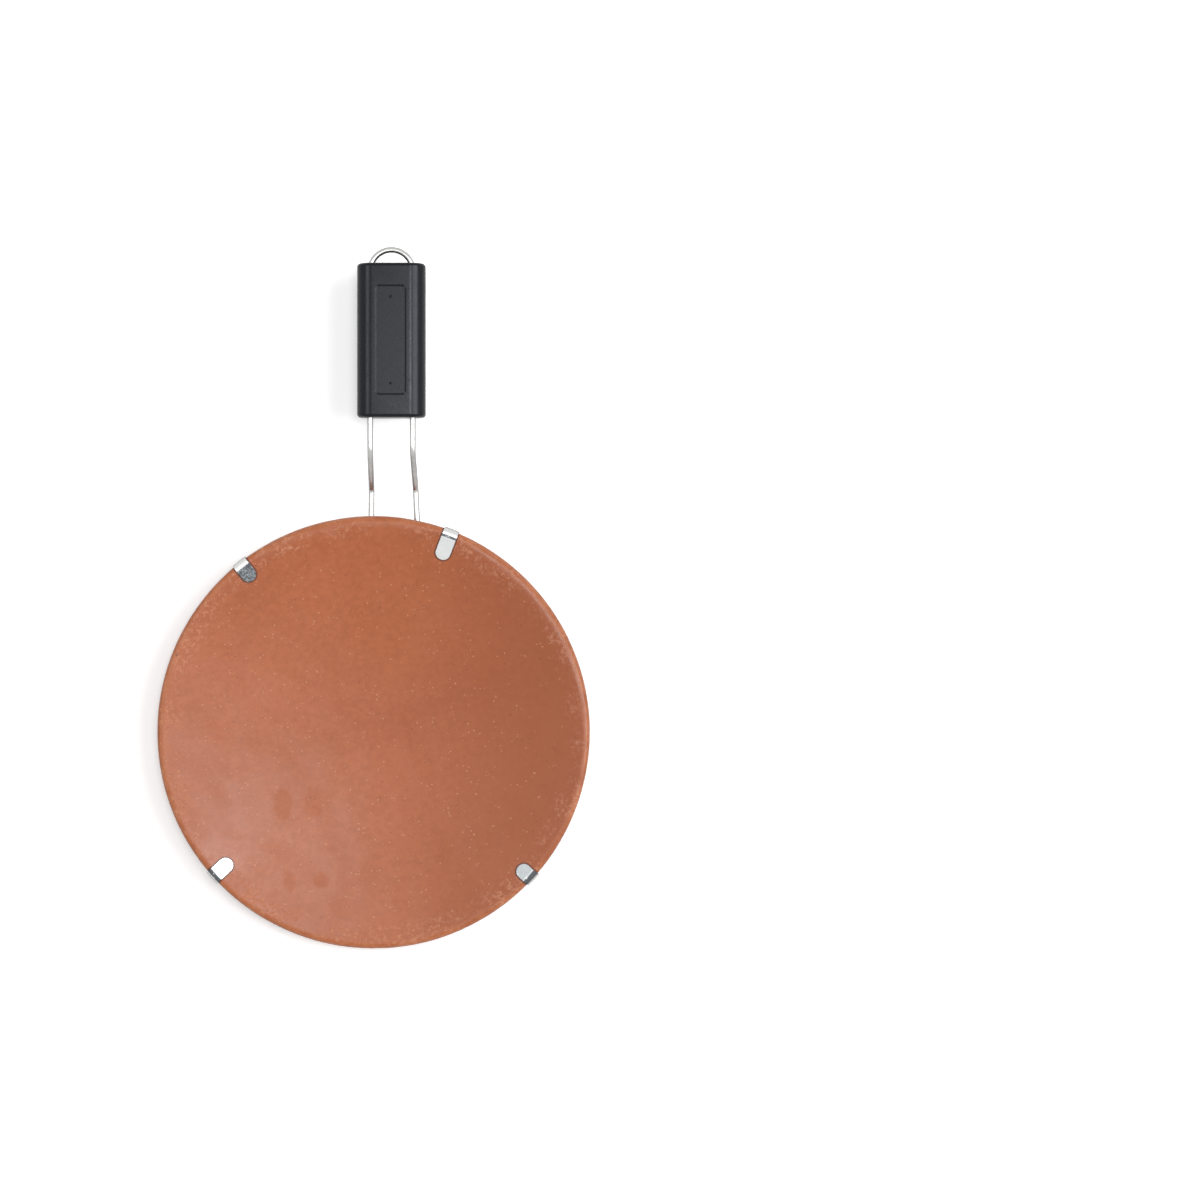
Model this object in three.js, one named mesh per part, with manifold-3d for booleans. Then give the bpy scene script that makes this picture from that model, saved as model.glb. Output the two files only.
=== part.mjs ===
// Clay tawa: a dished clay plate, held by four sheet clips on a bent wire frame
// whose two legs carry a two-part handle. Millimetres, +Z up, handle along +Y.
// The origin is on the plate's axis, on the face of the round sunk into its underside.

import * as THREE from 'three';
import { mergeVertices } from 'three/addons/utils/BufferGeometryUtils.js';
import Module from 'manifold-3d';

const wasm = await Module();
wasm.setup();

// Clay plate
const PLATE_DIAMETER = 250;
const PLATE_THICKNESS = 9;
const DISH_DEPTH = 9.5;
const UNDERSIDE_RISE = 9.5;
const RIM_ROUND = 3;
const RIM_BEVEL = 3.5;
const RIM_BEVEL_RISE = 3;
const SUNK_ROUND_DIAMETER = 96;
const SUNK_ROUND_DEPTH = 0.6;
const SUNK_ROUND_X = -3.9;
const SUNK_ROUND_Y = -9.3;
const SUNK_ROUND_LAND = 1;

// Wire frame
const WIRE_DIAMETER = 3.25;
const RING_INSET = 18.1;
const RING_SHIFT_X = -1.4;
const RING_SHIFT_Y = -4.9;
const RIM_BEND_RADIUS = 6;
const VALLEY_BEND_RADIUS = 5;
const CREST_BEND_RADIUS = 12;
const VALLEY_BEYOND_RIM = 15;
const CREST_BEYOND_RIM = 36.5;
const WIRE_END_GAP = 2;

// Arms of the wire between the ring and the legs: angle in degrees, distance in from the rim
const RIGHT_ARM = [[74, 9.8], [60, 14.6], [47, 18], [35, 20.4]];
const LEFT_ARM = [[165, 16.6], [152, 15.4], [140, 16.4], [125, 19.3], [112, 19.6], [103, 17.3], [97, 14.1]];
const RIGHT_RIM_BEND = { x: 24.9, inset: 7.6 };
const LEFT_RIM_BEND = { x: -2, inset: 9 };

// Feet bent into the ring: angle in degrees, half of the flat, slope beside it, reach outwards
const FEET = [
  { name: 'right', angle: 25, halfFlat: 4, slope: 12, splay: 0.4 },
  { name: 'left', angle: 150, halfFlat: 4, slope: 12, splay: 1.6 },
  { name: 'far', angle: 264.5, halfFlat: 7, slope: 14, splay: 6 },
];
const FEET_BELOW_PLATE = 7;
const FOOT_FLAT_DEPTH = 0.2;

// Handle and hanging loop
const HANDLE_SIDE_SHIFT = 10.7;
const HANDLE_WIDTH = 39.4;
const HANDLE_LENGTH = 88.7;
const HANDLE_THICKNESS = 20;
const HANDLE_SHOULDER = 9;
const HANDLE_END_ROUND = 2;
const HANDLE_BEYOND_RIM = 56.3;
const HANDLE_LIFT = 22;
const LEG_SPACING = 24.5;
const LOOP_REACH = 10;
const PANEL_WIDTH = 18.2;
const PANEL_LENGTH = 63.3;
const PANEL_CORNER = 2.5;
const PANEL_DEPTH = 0.6;

// Screws
const SCREW_SPACING = 49.6;
const SCREW_HEAD_DIAMETER = 6.3;
const SCREW_HEAD_HEIGHT = 2.4;
const SCREW_HEAD_CROWN = 0.9;
const SCREW_SHANK_DIAMETER = 3.5;
const SCREW_LENGTH = 13;
const SCREW_TIP = 1.5;
const COUNTERBORE_DIAMETER = 8.4;
const COUNTERBORE_DEPTH = 4.2;
const CROSS_LENGTH = 3.4;
const CROSS_WIDTH = 0.9;
const CROSS_DEPTH = 1.2;

// Clips: angle in degrees, tongue from the rim, and how the strip meets the wire
const CLIP_SHEET = 0.6;
const CLIP_WIDTH = 8.7;
const CLIP_RUN_TO_WIRE = 6;
const CLIPS = [
  { name: 'clip_near_handle_right', angle: 68.8, tongue: 17.9, wrap: 'under' },
  { name: 'clip_near_handle_left', angle: 128.3, tongue: 13, wrap: 'under' },
  { name: 'clip_far_left', angle: 222, tongue: 14.5, wrap: 'under' },
  { name: 'clip_far_right', angle: 317.3, tongue: 11, wrap: 'between' },
];
const WRAP_END = { under: -200, between: 300 };

// Clearance between neighbours that touch on the real object
const FIT = 0.3;

// Fineness of the facets
const PLATE_SIDES = 96;
const PLATE_RINGS = 7;
const RIM_STEPS = 3;
const WIRE_SIDES = 8;
const WIRE_STEP = 3;
const RING_STEP_DEGREES = 12;
const BEND_STEP = Math.PI / 12;
const ROUND_SIDES = 24;
const SHOULDER_STEPS = 5;
const WRAP_STEPS = 7;
const CLIP_SLICES = [-1, -0.9, -0.6, 0, 0.6, 0.9, 1];

// Sizes that follow from the ones above
const plateRadius = PLATE_DIAMETER / 2;
const crestRadius = plateRadius - RIM_ROUND;
const bevelRadius = plateRadius - RIM_BEVEL;
const rimTop = PLATE_THICKNESS + DISH_DEPTH;
const flatRadius = SUNK_ROUND_DIAMETER / 2 + Math.hypot(SUNK_ROUND_X, SUNK_ROUND_Y) + SUNK_ROUND_LAND;
const wireRadius = WIRE_DIAMETER / 2;
const wireBelowClay = CLIP_SHEET + 2 * FIT + wireRadius;
const grooveRadius = wireRadius + FIT;
const floorLevel = -FEET_BELOW_PLATE;
const footCentre = floorLevel - FOOT_FLAT_DEPTH + wireRadius;
const handleNear = plateRadius + HANDLE_BEYOND_RIM;
const handleFar = handleNear + HANDLE_LENGTH;
const handleMiddle = (handleNear + handleFar) / 2;
const handleHalf = HANDLE_THICKNESS / 2;
const legRightX = HANDLE_SIDE_SHIFT + LEG_SPACING / 2;
const legLeftX = HANDLE_SIDE_SHIFT - LEG_SPACING / 2;
const loopCentreY = handleFar + LOOP_REACH - wireRadius - LEG_SPACING / 2;
const counterboreFloor = HANDLE_LIFT - handleHalf + COUNTERBORE_DEPTH;
const screwSeat = counterboreFloor - FIT;
const pilotTop = screwSeat + SCREW_LENGTH + FIT;

// Height of the cooking face and of the underside at a distance from the plate's axis
function topLevel(radius) {
  return PLATE_THICKNESS + DISH_DEPTH * (radius / crestRadius) ** 2;
}

function underLevel(radius) {
  const out = Math.max(0, radius - flatRadius) / (bevelRadius - flatRadius);
  return UNDERSIDE_RISE * out ** 2;
}

// The rim's outline from its crest, over the outer face, to the underside
function rimOutline() {
  const points = [];
  for (let i = 0; i <= RIM_STEPS; i += 1) {
    const turn = (Math.PI / 2) * (1 - i / RIM_STEPS);
    const radius = crestRadius + RIM_ROUND * Math.cos(turn);
    points.push(new THREE.Vector2(radius, rimTop - RIM_ROUND + RIM_ROUND * Math.sin(turn)));
  }
  points.push(new THREE.Vector2(plateRadius, UNDERSIDE_RISE + RIM_BEVEL_RISE));
  points.push(new THREE.Vector2(bevelRadius, UNDERSIDE_RISE));
  return points;
}

// Closed meshes and solids
function closedGeometry(geometry) {
  geometry.deleteAttribute('normal');
  geometry.deleteAttribute('uv');
  const merged = mergeVertices(geometry);
  const corners = merged.index.array;
  const kept = [];
  for (let i = 0; i < corners.length; i += 3) {
    const [a, b, c] = corners.slice(i, i + 3);
    if (a !== b && b !== c && c !== a) kept.push(a, b, c);
  }
  merged.setIndex(kept);
  return merged;
}

function solid(geometry) {
  const closed = closedGeometry(geometry);
  const vertProperties = new Float32Array(closed.attributes.position.array);
  const triVerts = new Uint32Array(closed.index.array);
  return new wasm.Manifold(new wasm.Mesh({ numProp: 3, vertProperties, triVerts }));
}

function surface(body) {
  const { vertProperties, triVerts } = body.getMesh();
  const geometry = new THREE.BufferGeometry();
  geometry.setAttribute('position', new THREE.BufferAttribute(vertProperties, 3));
  geometry.setIndex(new THREE.BufferAttribute(triVerts, 1));
  geometry.computeVertexNormals();
  return geometry;
}

function boxBetween(low, high) {
  const size = new THREE.Vector3().subVectors(high, low);
  const middle = new THREE.Vector3().addVectors(low, high).multiplyScalar(0.5);
  const geometry = new THREE.BoxGeometry(size.x, size.y, size.z);
  return solid(geometry.translate(middle.x, middle.y, middle.z));
}

// A round bar along +Z
function bar(diameter, x, y, bottom, top) {
  const geometry = new THREE.CylinderGeometry(diameter / 2, diameter / 2, top - bottom, ROUND_SIDES);
  geometry.rotateX(Math.PI / 2);
  return solid(geometry.translate(x, y, (bottom + top) / 2));
}

// A rounded rectangle about the origin
function roundedRectangle(width, height, corner) {
  const x = width / 2;
  const y = height / 2;
  const shape = new THREE.Shape();
  shape.absarc(x - corner, y - corner, corner, 0, Math.PI / 2);
  shape.absarc(-x + corner, y - corner, corner, Math.PI / 2, Math.PI);
  shape.absarc(-x + corner, -y + corner, corner, Math.PI, Math.PI * 1.5);
  shape.absarc(x - corner, -y + corner, corner, Math.PI * 1.5, Math.PI * 2);
  return shape;
}

// A round rod along points in space
function rod(points, radius) {
  const section = [];
  for (let i = 0; i < WIRE_SIDES; i += 1) {
    const turn = (2 * Math.PI * (i + 0.5)) / WIRE_SIDES;
    section.push(new THREE.Vector2(radius * Math.cos(turn), radius * Math.sin(turn)));
  }
  const path = new THREE.CatmullRomCurve3(points);
  path.arcLengthDivisions = points.length * WIRE_SIDES;
  const steps = Math.round(path.getLength() / WIRE_STEP);
  return solid(new THREE.ExtrudeGeometry(new THREE.Shape(section), { steps, extrudePath: path }));
}

// Points along straight runs whose corners are bent to their radius
function bentRun(corners) {
  const points = [corners[0].at];
  for (let i = 1; i < corners.length - 1; i += 1) {
    const { at, bend } = corners[i];
    const back = new THREE.Vector3().subVectors(corners[i - 1].at, at).normalize();
    const ahead = new THREE.Vector3().subVectors(corners[i + 1].at, at).normalize();
    const turn = Math.PI - back.angleTo(ahead);
    const trim = bend * Math.tan(turn / 2);
    const middle = new THREE.Vector3().addVectors(back, ahead).normalize();
    const centre = at.clone().addScaledVector(middle, bend / Math.cos(turn / 2));
    const from = at.clone().addScaledVector(back, trim).sub(centre);
    const axis = new THREE.Vector3().crossVectors(from, ahead).normalize();
    const steps = Math.max(2, Math.ceil(turn / BEND_STEP));
    for (let k = 0; k <= steps; k += 1) {
      points.push(from.clone().applyAxisAngle(axis, (turn * k) / steps).add(centre));
    }
  }
  points.push(corners[corners.length - 1].at);
  return points;
}

// Extra points on the long straight runs, so that a smooth curve keeps them straight
function withStraights(points) {
  const all = [points[0]];
  for (let i = 1; i < points.length; i += 1) {
    const count = Math.ceil(points[i].distanceTo(points[i - 1]) / WIRE_STEP);
    for (let k = 1; k <= count; k += 1) {
      all.push(points[i - 1].clone().lerp(points[i], k / count));
    }
  }
  return all;
}

// Plan of the wire under the plate, from the right arm round the ring to the left arm
function polarPoint(degrees, radius) {
  const turn = THREE.MathUtils.degToRad(degrees);
  return new THREE.Vector3(radius * Math.cos(turn), radius * Math.sin(turn), 0);
}

function ringPlan() {
  const points = RIGHT_ARM.map(([degrees, inset]) => polarPoint(degrees, plateRadius - inset));
  const first = RIGHT_ARM[RIGHT_ARM.length - 1][0] - RING_STEP_DEGREES;
  const last = LEFT_ARM[0][0] - 360;
  for (let degrees = first; degrees > last; degrees -= RING_STEP_DEGREES) {
    const onRing = polarPoint(degrees, plateRadius - RING_INSET);
    points.push(onRing.add(new THREE.Vector3(RING_SHIFT_X, RING_SHIFT_Y, 0)));
  }
  points.push(...LEFT_ARM.map(([degrees, inset]) => polarPoint(degrees, plateRadius - inset)));
  const curve = new THREE.CatmullRomCurve3(points);
  return curve.getSpacedPoints(Math.round(curve.getLength() / WIRE_STEP));
}

const plan = ringPlan();

function wireLevel(radius) {
  return underLevel(radius) - wireBelowClay;
}

// How far a point of the ring is bent into a foot: 0 on the ring, 1 on the foot's flat
function footShare(point, foot) {
  const away = Math.atan2(point.y, point.x) - THREE.MathUtils.degToRad(foot.angle);
  const along = Math.abs(Math.atan2(Math.sin(away), Math.cos(away))) * point.length();
  return 1 - THREE.MathUtils.smoothstep(along, foot.halfFlat, foot.halfFlat + foot.slope);
}

function ringPoints() {
  return plan.map((flat) => {
    const radius = Math.hypot(flat.x, flat.y);
    const point = flat.clone().setZ(wireLevel(radius));
    for (const foot of FEET) {
      const share = footShare(flat, foot);
      point.x *= 1 + (foot.splay * share) / radius;
      point.y *= 1 + (foot.splay * share) / radius;
      point.z = THREE.MathUtils.lerp(point.z, footCentre, share);
    }
    return point;
  });
}

// The bends of one leg, from the plate's rim up to the handle
function legCorners(rimBend, legX) {
  const rimY = plateRadius - rimBend.inset;
  const level = wireLevel(Math.min(bevelRadius, Math.hypot(rimBend.x, rimY)));
  const valleyY = plateRadius + VALLEY_BEYOND_RIM;
  const crestY = plateRadius + CREST_BEYOND_RIM;
  const straighten = (valleyY - rimY) / (crestY - rimY);
  const valleyX = THREE.MathUtils.lerp(rimBend.x, legX, straighten);
  return [
    { at: new THREE.Vector3(rimBend.x, rimY, level), bend: RIM_BEND_RADIUS },
    { at: new THREE.Vector3(valleyX, valleyY, level), bend: VALLEY_BEND_RADIUS },
    { at: new THREE.Vector3(legX, crestY, HANDLE_LIFT), bend: CREST_BEND_RADIUS },
  ];
}

// The hanging loop, from the left leg over to the right one
function loopPoints() {
  const points = [];
  for (let turn = Math.PI; turn > -BEND_STEP / 2; turn -= BEND_STEP) {
    const x = HANDLE_SIDE_SHIFT + (LEG_SPACING / 2) * Math.cos(turn);
    points.push(new THREE.Vector3(x, loopCentreY + (LEG_SPACING / 2) * Math.sin(turn), HANDLE_LIFT));
  }
  return points;
}

// The wire runs from its first end in the handle, round the plate, to the loop and back into the handle
function wireFrame() {
  const ring = ringPoints();
  const start = new THREE.Vector3(legRightX, handleMiddle - WIRE_END_GAP / 2, HANDLE_LIFT);
  const end = new THREE.Vector3(legRightX, handleMiddle + WIRE_END_GAP / 2, HANDLE_LIFT);
  const down = legCorners(RIGHT_RIM_BEND, legRightX).reverse();
  const up = legCorners(LEFT_RIM_BEND, legLeftX);
  const loop = loopPoints();
  const points = [
    ...bentRun([{ at: start }, ...down, { at: ring[0] }]),
    ...ring.slice(1, -1),
    ...bentRun([{ at: ring[ring.length - 1] }, ...up, { at: loop[0] }]),
    ...loop.slice(1),
    end,
  ];
  const below = new THREE.Vector3(-PLATE_DIAMETER, -PLATE_DIAMETER, floorLevel - WIRE_DIAMETER);
  const flat = new THREE.Vector3(PLATE_DIAMETER, PLATE_DIAMETER, floorLevel);
  return surface(rod(withStraights(points), wireRadius).subtract(boxBetween(below, flat)));
}

// Plate turned from its half section, with the round sunk into its underside
function clayPlate() {
  const profile = [new THREE.Vector2(0, 0), new THREE.Vector2(flatRadius, 0)];
  for (let i = 1; i < PLATE_RINGS; i += 1) {
    const radius = THREE.MathUtils.lerp(flatRadius, bevelRadius, i / PLATE_RINGS);
    profile.push(new THREE.Vector2(radius, underLevel(radius)));
  }
  profile.push(...rimOutline().reverse());
  for (let i = PLATE_RINGS - 1; i > 0; i -= 1) {
    const radius = (crestRadius * i) / PLATE_RINGS;
    profile.push(new THREE.Vector2(radius, topLevel(radius)));
  }
  profile.push(new THREE.Vector2(0, topLevel(0)));
  const turned = solid(new THREE.LatheGeometry(profile, PLATE_SIDES).rotateX(Math.PI / 2));
  const round = new THREE.CylinderGeometry(
    SUNK_ROUND_DIAMETER / 2,
    SUNK_ROUND_DIAMETER / 2,
    2 * SUNK_ROUND_DEPTH,
    PLATE_SIDES,
  );
  round.rotateX(Math.PI / 2).translate(SUNK_ROUND_X, SUNK_ROUND_Y, 0);
  return surface(turned.subtract(solid(round)));
}

// A line of points moved sideways by a distance, to the left of its direction
function besideLine(points, distance) {
  return points.map((point, i) => {
    const before = points[Math.max(0, i - 1)];
    const after = points[Math.min(points.length - 1, i + 1)];
    const [last, first] = [i === points.length - 1, i === 0];
    const into = new THREE.Vector2().subVectors(first ? after : point, before).normalize();
    const out = new THREE.Vector2().subVectors(after, last ? before : point).normalize();
    const middle = new THREE.Vector2().addVectors(into, out).normalize();
    const left = new THREE.Vector2(-middle.y, middle.x);
    return point.clone().addScaledVector(left, distance / middle.dot(into));
  });
}

// Where the wire crosses a clip's middle line: distance out, and sideways slope of the wire
function wireAtAngle(degrees) {
  const turn = THREE.MathUtils.degToRad(degrees);
  const local = plan.map((p) => p.clone().applyAxisAngle(new THREE.Vector3(0, 0, 1), -turn));
  for (let i = 1; i < local.length; i += 1) {
    const [a, b] = [local[i - 1], local[i]];
    if (a.x > 0 && a.y >= 0 && b.y < 0) {
      const share = a.y / (a.y - b.y);
      return { out: THREE.MathUtils.lerp(a.x, b.x, share), slope: (b.x - a.x) / (b.y - a.y) };
    }
  }
  throw new Error(`no wire under the clip at ${degrees} degrees`);
}

// Section of a clip at a distance beside its middle line, in the plane out from the axis and up
function clipSection(clip, wire, beside) {
  const outAt = (radius) => Math.sqrt(radius ** 2 - beside ** 2);
  const half = CLIP_WIDTH / 2;
  const tongue = clip.tongue - half + Math.sqrt(Math.max(0, half ** 2 - beside ** 2));
  const tipOut = outAt(plateRadius) - tongue;
  const tip = new THREE.Vector2(tipOut, topLevel(Math.hypot(tipOut, beside)));
  const rim = rimOutline().map((p) => new THREE.Vector2(outAt(p.x), p.y));
  const wireOut = wire.out + wire.slope * beside;
  const leaveOut = Math.min(wireOut + CLIP_RUN_TO_WIRE, outAt(bevelRadius) - CLIP_SHEET);
  const leave = new THREE.Vector2(leaveOut, underLevel(Math.hypot(leaveOut, beside)));
  const along = [tip, ...rim, leave];
  const nearLine = besideLine(along, FIT);
  const farLine = besideLine(along, FIT + CLIP_SHEET);

  const centre = new THREE.Vector2(wireOut, wireLevel(Math.hypot(wireOut, beside)));
  const under = clip.wrap === 'under';
  const side = under ? 1 : -1;
  const from = (under ? nearLine : farLine)[along.length - 1];
  const toCentre = new THREE.Vector2().subVectors(centre, from);
  const tangent = toCentre.angle() + side * Math.asin(grooveRadius / toCentre.length());
  const first = tangent + (side * Math.PI) / 2 - (under ? 2 * Math.PI : 0);
  const last = THREE.MathUtils.degToRad(WRAP_END[clip.wrap]);
  for (let i = 0; i <= WRAP_STEPS; i += 1) {
    const turn = THREE.MathUtils.lerp(first, last, i / WRAP_STEPS);
    const direction = new THREE.Vector2(Math.cos(turn), Math.sin(turn));
    const inside = centre.clone().addScaledVector(direction, grooveRadius);
    const outside = centre.clone().addScaledVector(direction, grooveRadius + CLIP_SHEET);
    nearLine.push(under ? inside : outside);
    farLine.push(under ? outside : inside);
  }
  return [...nearLine, ...farLine.reverse()];
}

// A body through like sections that stand beside each other along Y
function loft(sections, places) {
  const count = sections[0].length;
  const positions = [];
  const index = [];
  sections.forEach((section, i) => section.forEach((p) => positions.push(p.x, places[i], p.y)));
  for (let i = 1; i < sections.length; i += 1) {
    for (let j = 0; j < count; j += 1) {
      const next = (j + 1) % count;
      const [a, b] = [(i - 1) * count + j, (i - 1) * count + next];
      const [c, d] = [i * count + next, i * count + j];
      index.push(a, c, b, a, d, c);
    }
  }
  const lastStart = (sections.length - 1) * count;
  for (const [a, b, c] of THREE.ShapeUtils.triangulateShape(sections[0], [])) index.push(a, b, c);
  for (const [a, b, c] of THREE.ShapeUtils.triangulateShape(sections[sections.length - 1], [])) {
    index.push(lastStart + a, lastStart + c, lastStart + b);
  }
  const geometry = new THREE.BufferGeometry();
  geometry.setAttribute('position', new THREE.Float32BufferAttribute(positions, 3));
  geometry.setIndex(index);
  geometry.computeVertexNormals();
  return geometry;
}

function rimClip(clip) {
  const wire = wireAtAngle(clip.angle);
  const places = CLIP_SLICES.map((share) => (share * CLIP_WIDTH) / 2);
  return loft(places.map((beside) => clipSection(clip, wire, beside)), places);
}

// The whole outside of the handle, before it is split at the wire
function handleBlock() {
  const section = roundedRectangle(HANDLE_WIDTH, HANDLE_THICKNESS, HANDLE_SHOULDER);
  const geometry = new THREE.ExtrudeGeometry(section, {
    depth: HANDLE_LENGTH - 2 * HANDLE_END_ROUND,
    curveSegments: SHOULDER_STEPS,
    bevelThickness: HANDLE_END_ROUND,
    bevelSize: HANDLE_END_ROUND,
    bevelOffset: -HANDLE_END_ROUND,
    bevelSegments: 2,
  });
  geometry.translate(0, 0, HANDLE_END_ROUND).rotateX(-Math.PI / 2);
  return solid(geometry.translate(HANDLE_SIDE_SHIFT, handleNear, HANDLE_LIFT));
}

function handleGrooves() {
  const reach = handleNear - WIRE_DIAMETER;
  const points = [
    new THREE.Vector3(legLeftX, reach, HANDLE_LIFT),
    ...loopPoints(),
    new THREE.Vector3(legRightX, reach, HANDLE_LIFT),
  ];
  return rod(withStraights(points), grooveRadius);
}

function screwPlaces() {
  return [handleMiddle - SCREW_SPACING / 2, handleMiddle + SCREW_SPACING / 2];
}

// One half of the handle: side 1 is the upper half, side -1 the lower one
function handleHalfBody(side) {
  const split = HANDLE_LIFT + (side * FIT) / 2;
  const outside = HANDLE_LIFT + side * HANDLE_THICKNESS;
  const low = new THREE.Vector3(
    HANDLE_SIDE_SHIFT - HANDLE_WIDTH,
    handleNear - HANDLE_LENGTH,
    Math.min(split, outside),
  );
  const high = new THREE.Vector3(
    HANDLE_SIDE_SHIFT + HANDLE_WIDTH,
    handleFar + HANDLE_LENGTH,
    Math.max(split, outside),
  );
  let body = handleBlock().intersect(boxBetween(low, high)).subtract(handleGrooves());
  const hole = SCREW_SHANK_DIAMETER + 2 * FIT;
  for (const y of screwPlaces()) {
    body = body.subtract(bar(hole, HANDLE_SIDE_SHIFT, y, counterboreFloor - SCREW_TIP, pilotTop));
  }
  return body;
}

function handleUpper() {
  const panel = roundedRectangle(PANEL_WIDTH, PANEL_LENGTH, PANEL_CORNER);
  const pocket = new THREE.ExtrudeGeometry(panel, {
    depth: 2 * PANEL_DEPTH,
    curveSegments: SHOULDER_STEPS,
    bevelEnabled: false,
  });
  pocket.translate(HANDLE_SIDE_SHIFT, handleMiddle, HANDLE_LIFT + handleHalf - PANEL_DEPTH);
  return surface(handleHalfBody(1).subtract(solid(pocket)));
}

function handleLower() {
  let body = handleHalfBody(-1);
  const outside = HANDLE_LIFT - HANDLE_THICKNESS;
  for (const y of screwPlaces()) {
    body = body.subtract(bar(COUNTERBORE_DIAMETER, HANDLE_SIDE_SHIFT, y, outside, counterboreFloor));
  }
  return surface(body);
}

// Pan-head screw standing on its head, with its seat at the origin
function screw() {
  const head = SCREW_HEAD_DIAMETER / 2;
  const shank = SCREW_SHANK_DIAMETER / 2;
  const profile = [
    new THREE.Vector2(0, -SCREW_HEAD_HEIGHT),
    new THREE.Vector2(head - SCREW_HEAD_CROWN, -SCREW_HEAD_HEIGHT),
    new THREE.Vector2(head, -SCREW_HEAD_HEIGHT + SCREW_HEAD_CROWN),
    new THREE.Vector2(head, 0),
    new THREE.Vector2(shank, 0),
    new THREE.Vector2(shank, SCREW_LENGTH - SCREW_TIP),
    new THREE.Vector2(0, SCREW_LENGTH),
  ];
  let body = solid(new THREE.LatheGeometry(profile, ROUND_SIDES).rotateX(Math.PI / 2));
  for (const [x, y] of [[CROSS_LENGTH, CROSS_WIDTH], [CROSS_WIDTH, CROSS_LENGTH]]) {
    const low = new THREE.Vector3(-x / 2, -y / 2, -2 * SCREW_HEAD_HEIGHT);
    const high = new THREE.Vector3(x / 2, y / 2, CROSS_DEPTH - SCREW_HEAD_HEIGHT);
    body = body.subtract(boxBetween(low, high));
  }
  return surface(body);
}

// Finishes
const CLAY = { color: 0xb06848, roughness: 0.75, metalness: 0 };
const BRIGHT_WIRE = { color: 0xc9c9c6, roughness: 0.3, metalness: 1 };
const GALVANISED_SHEET = { color: 0xbfc4c6, roughness: 0.35, metalness: 1 };
const BLACK_MOULDING = { color: 0x25262a, roughness: 0.5, metalness: 0 };
const ZINC_SCREW = { color: 0xc4c6c4, roughness: 0.35, metalness: 1 };

function piece(name, geometry, finish) {
  const mesh = new THREE.Mesh(geometry, new THREE.MeshStandardMaterial(finish));
  mesh.name = name;
  return mesh;
}

// The levels above count from the underside's flat, so the whole is lowered to the sunk face
const tawa = new THREE.Group();
tawa.position.z = -SUNK_ROUND_DEPTH;
tawa.add(piece('clay_plate', clayPlate(), CLAY));
tawa.add(piece('wire_frame', wireFrame(), BRIGHT_WIRE));
for (const clip of CLIPS) {
  const strip = piece(clip.name, rimClip(clip), GALVANISED_SHEET);
  strip.rotation.z = THREE.MathUtils.degToRad(clip.angle);
  tawa.add(strip);
}
tawa.add(piece('handle_upper', handleUpper(), BLACK_MOULDING));
tawa.add(piece('handle_lower', handleLower(), BLACK_MOULDING));
screwPlaces().forEach((y, i) => {
  const fastener = piece(['screw_near_plate', 'screw_near_loop'][i], screw(), ZINC_SCREW);
  fastener.position.set(HANDLE_SIDE_SHIFT, y, screwSeat);
  tawa.add(fastener);
});

export default tawa;
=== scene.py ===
import math

import bmesh
import bpy
from mathutils import Matrix, Vector, noise
from mathutils.geometry import interpolate_bezier


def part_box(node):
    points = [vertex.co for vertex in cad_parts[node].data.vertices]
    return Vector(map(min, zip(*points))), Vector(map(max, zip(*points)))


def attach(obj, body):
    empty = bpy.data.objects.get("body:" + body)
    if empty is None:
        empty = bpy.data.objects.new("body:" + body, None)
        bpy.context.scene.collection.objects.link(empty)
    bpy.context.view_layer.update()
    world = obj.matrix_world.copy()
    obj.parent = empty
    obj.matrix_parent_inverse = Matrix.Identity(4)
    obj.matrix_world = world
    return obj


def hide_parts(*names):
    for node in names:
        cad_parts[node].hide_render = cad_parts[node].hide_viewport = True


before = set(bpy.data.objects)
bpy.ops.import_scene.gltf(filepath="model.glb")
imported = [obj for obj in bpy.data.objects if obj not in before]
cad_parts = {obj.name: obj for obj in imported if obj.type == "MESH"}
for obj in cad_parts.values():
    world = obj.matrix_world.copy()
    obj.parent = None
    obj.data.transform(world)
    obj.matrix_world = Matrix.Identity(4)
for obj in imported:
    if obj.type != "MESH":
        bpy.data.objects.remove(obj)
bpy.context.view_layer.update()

bl_info = {
    "name": "Clay tawa",
    "version": (1, 0, 0),
    "blender": (4, 5, 0),
    "location": "View3D > Sidebar > Tawa",
    "description": "Builds a clay tawa on its wire frame, piece by piece, and a plain stage for it",
    "category": "Add Mesh",
}

BODY = "root"

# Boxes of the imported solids, which the sizes below come from
plate_low, plate_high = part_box("clay_plate")
wire_low, wire_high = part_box("wire_frame")
upper_low, upper_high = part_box("handle_upper")
lower_low, lower_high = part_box("handle_lower")
screw_low, screw_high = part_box("screw_near_plate")
far_screw_low, far_screw_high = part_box("screw_near_loop")

# Middle of the handle, and the places of the two screws along it
handle_x = (upper_low.x + upper_high.x) / 2
handle_y = (upper_low.y + upper_high.y) / 2
screw_places = ((screw_low.y + screw_high.y) / 2, (far_screw_low.y + far_screw_high.y) / 2)

# Feet bent into the ring: angle in degrees, half of the flat, slope beside it, reach outwards
FEET = (
    (25.0, 0.004, 0.012, 0.0004),
    (150.0, 0.004, 0.012, 0.0016),
    (264.5, 0.007, 0.014, 0.006),
)

# Arms of the wire: angle in degrees, distance in from the rim
RIGHT_ARM = ((74, 0.0098), (60, 0.0146), (47, 0.018), (35, 0.0204))
LEFT_ARM = ((165, 0.0166), (152, 0.0154), (140, 0.0164), (125, 0.0193),
            (112, 0.0196), (103, 0.0173), (97, 0.0141))

# Degrees between the knots of the ring
RING_STEP = 12

# Where an arm bends out into its leg: place across, distance in from the rim at the handle
RIGHT_RIM_BEND = (0.0249, 0.0076)
LEFT_RIM_BEND = (-0.002, 0.009)

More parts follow.
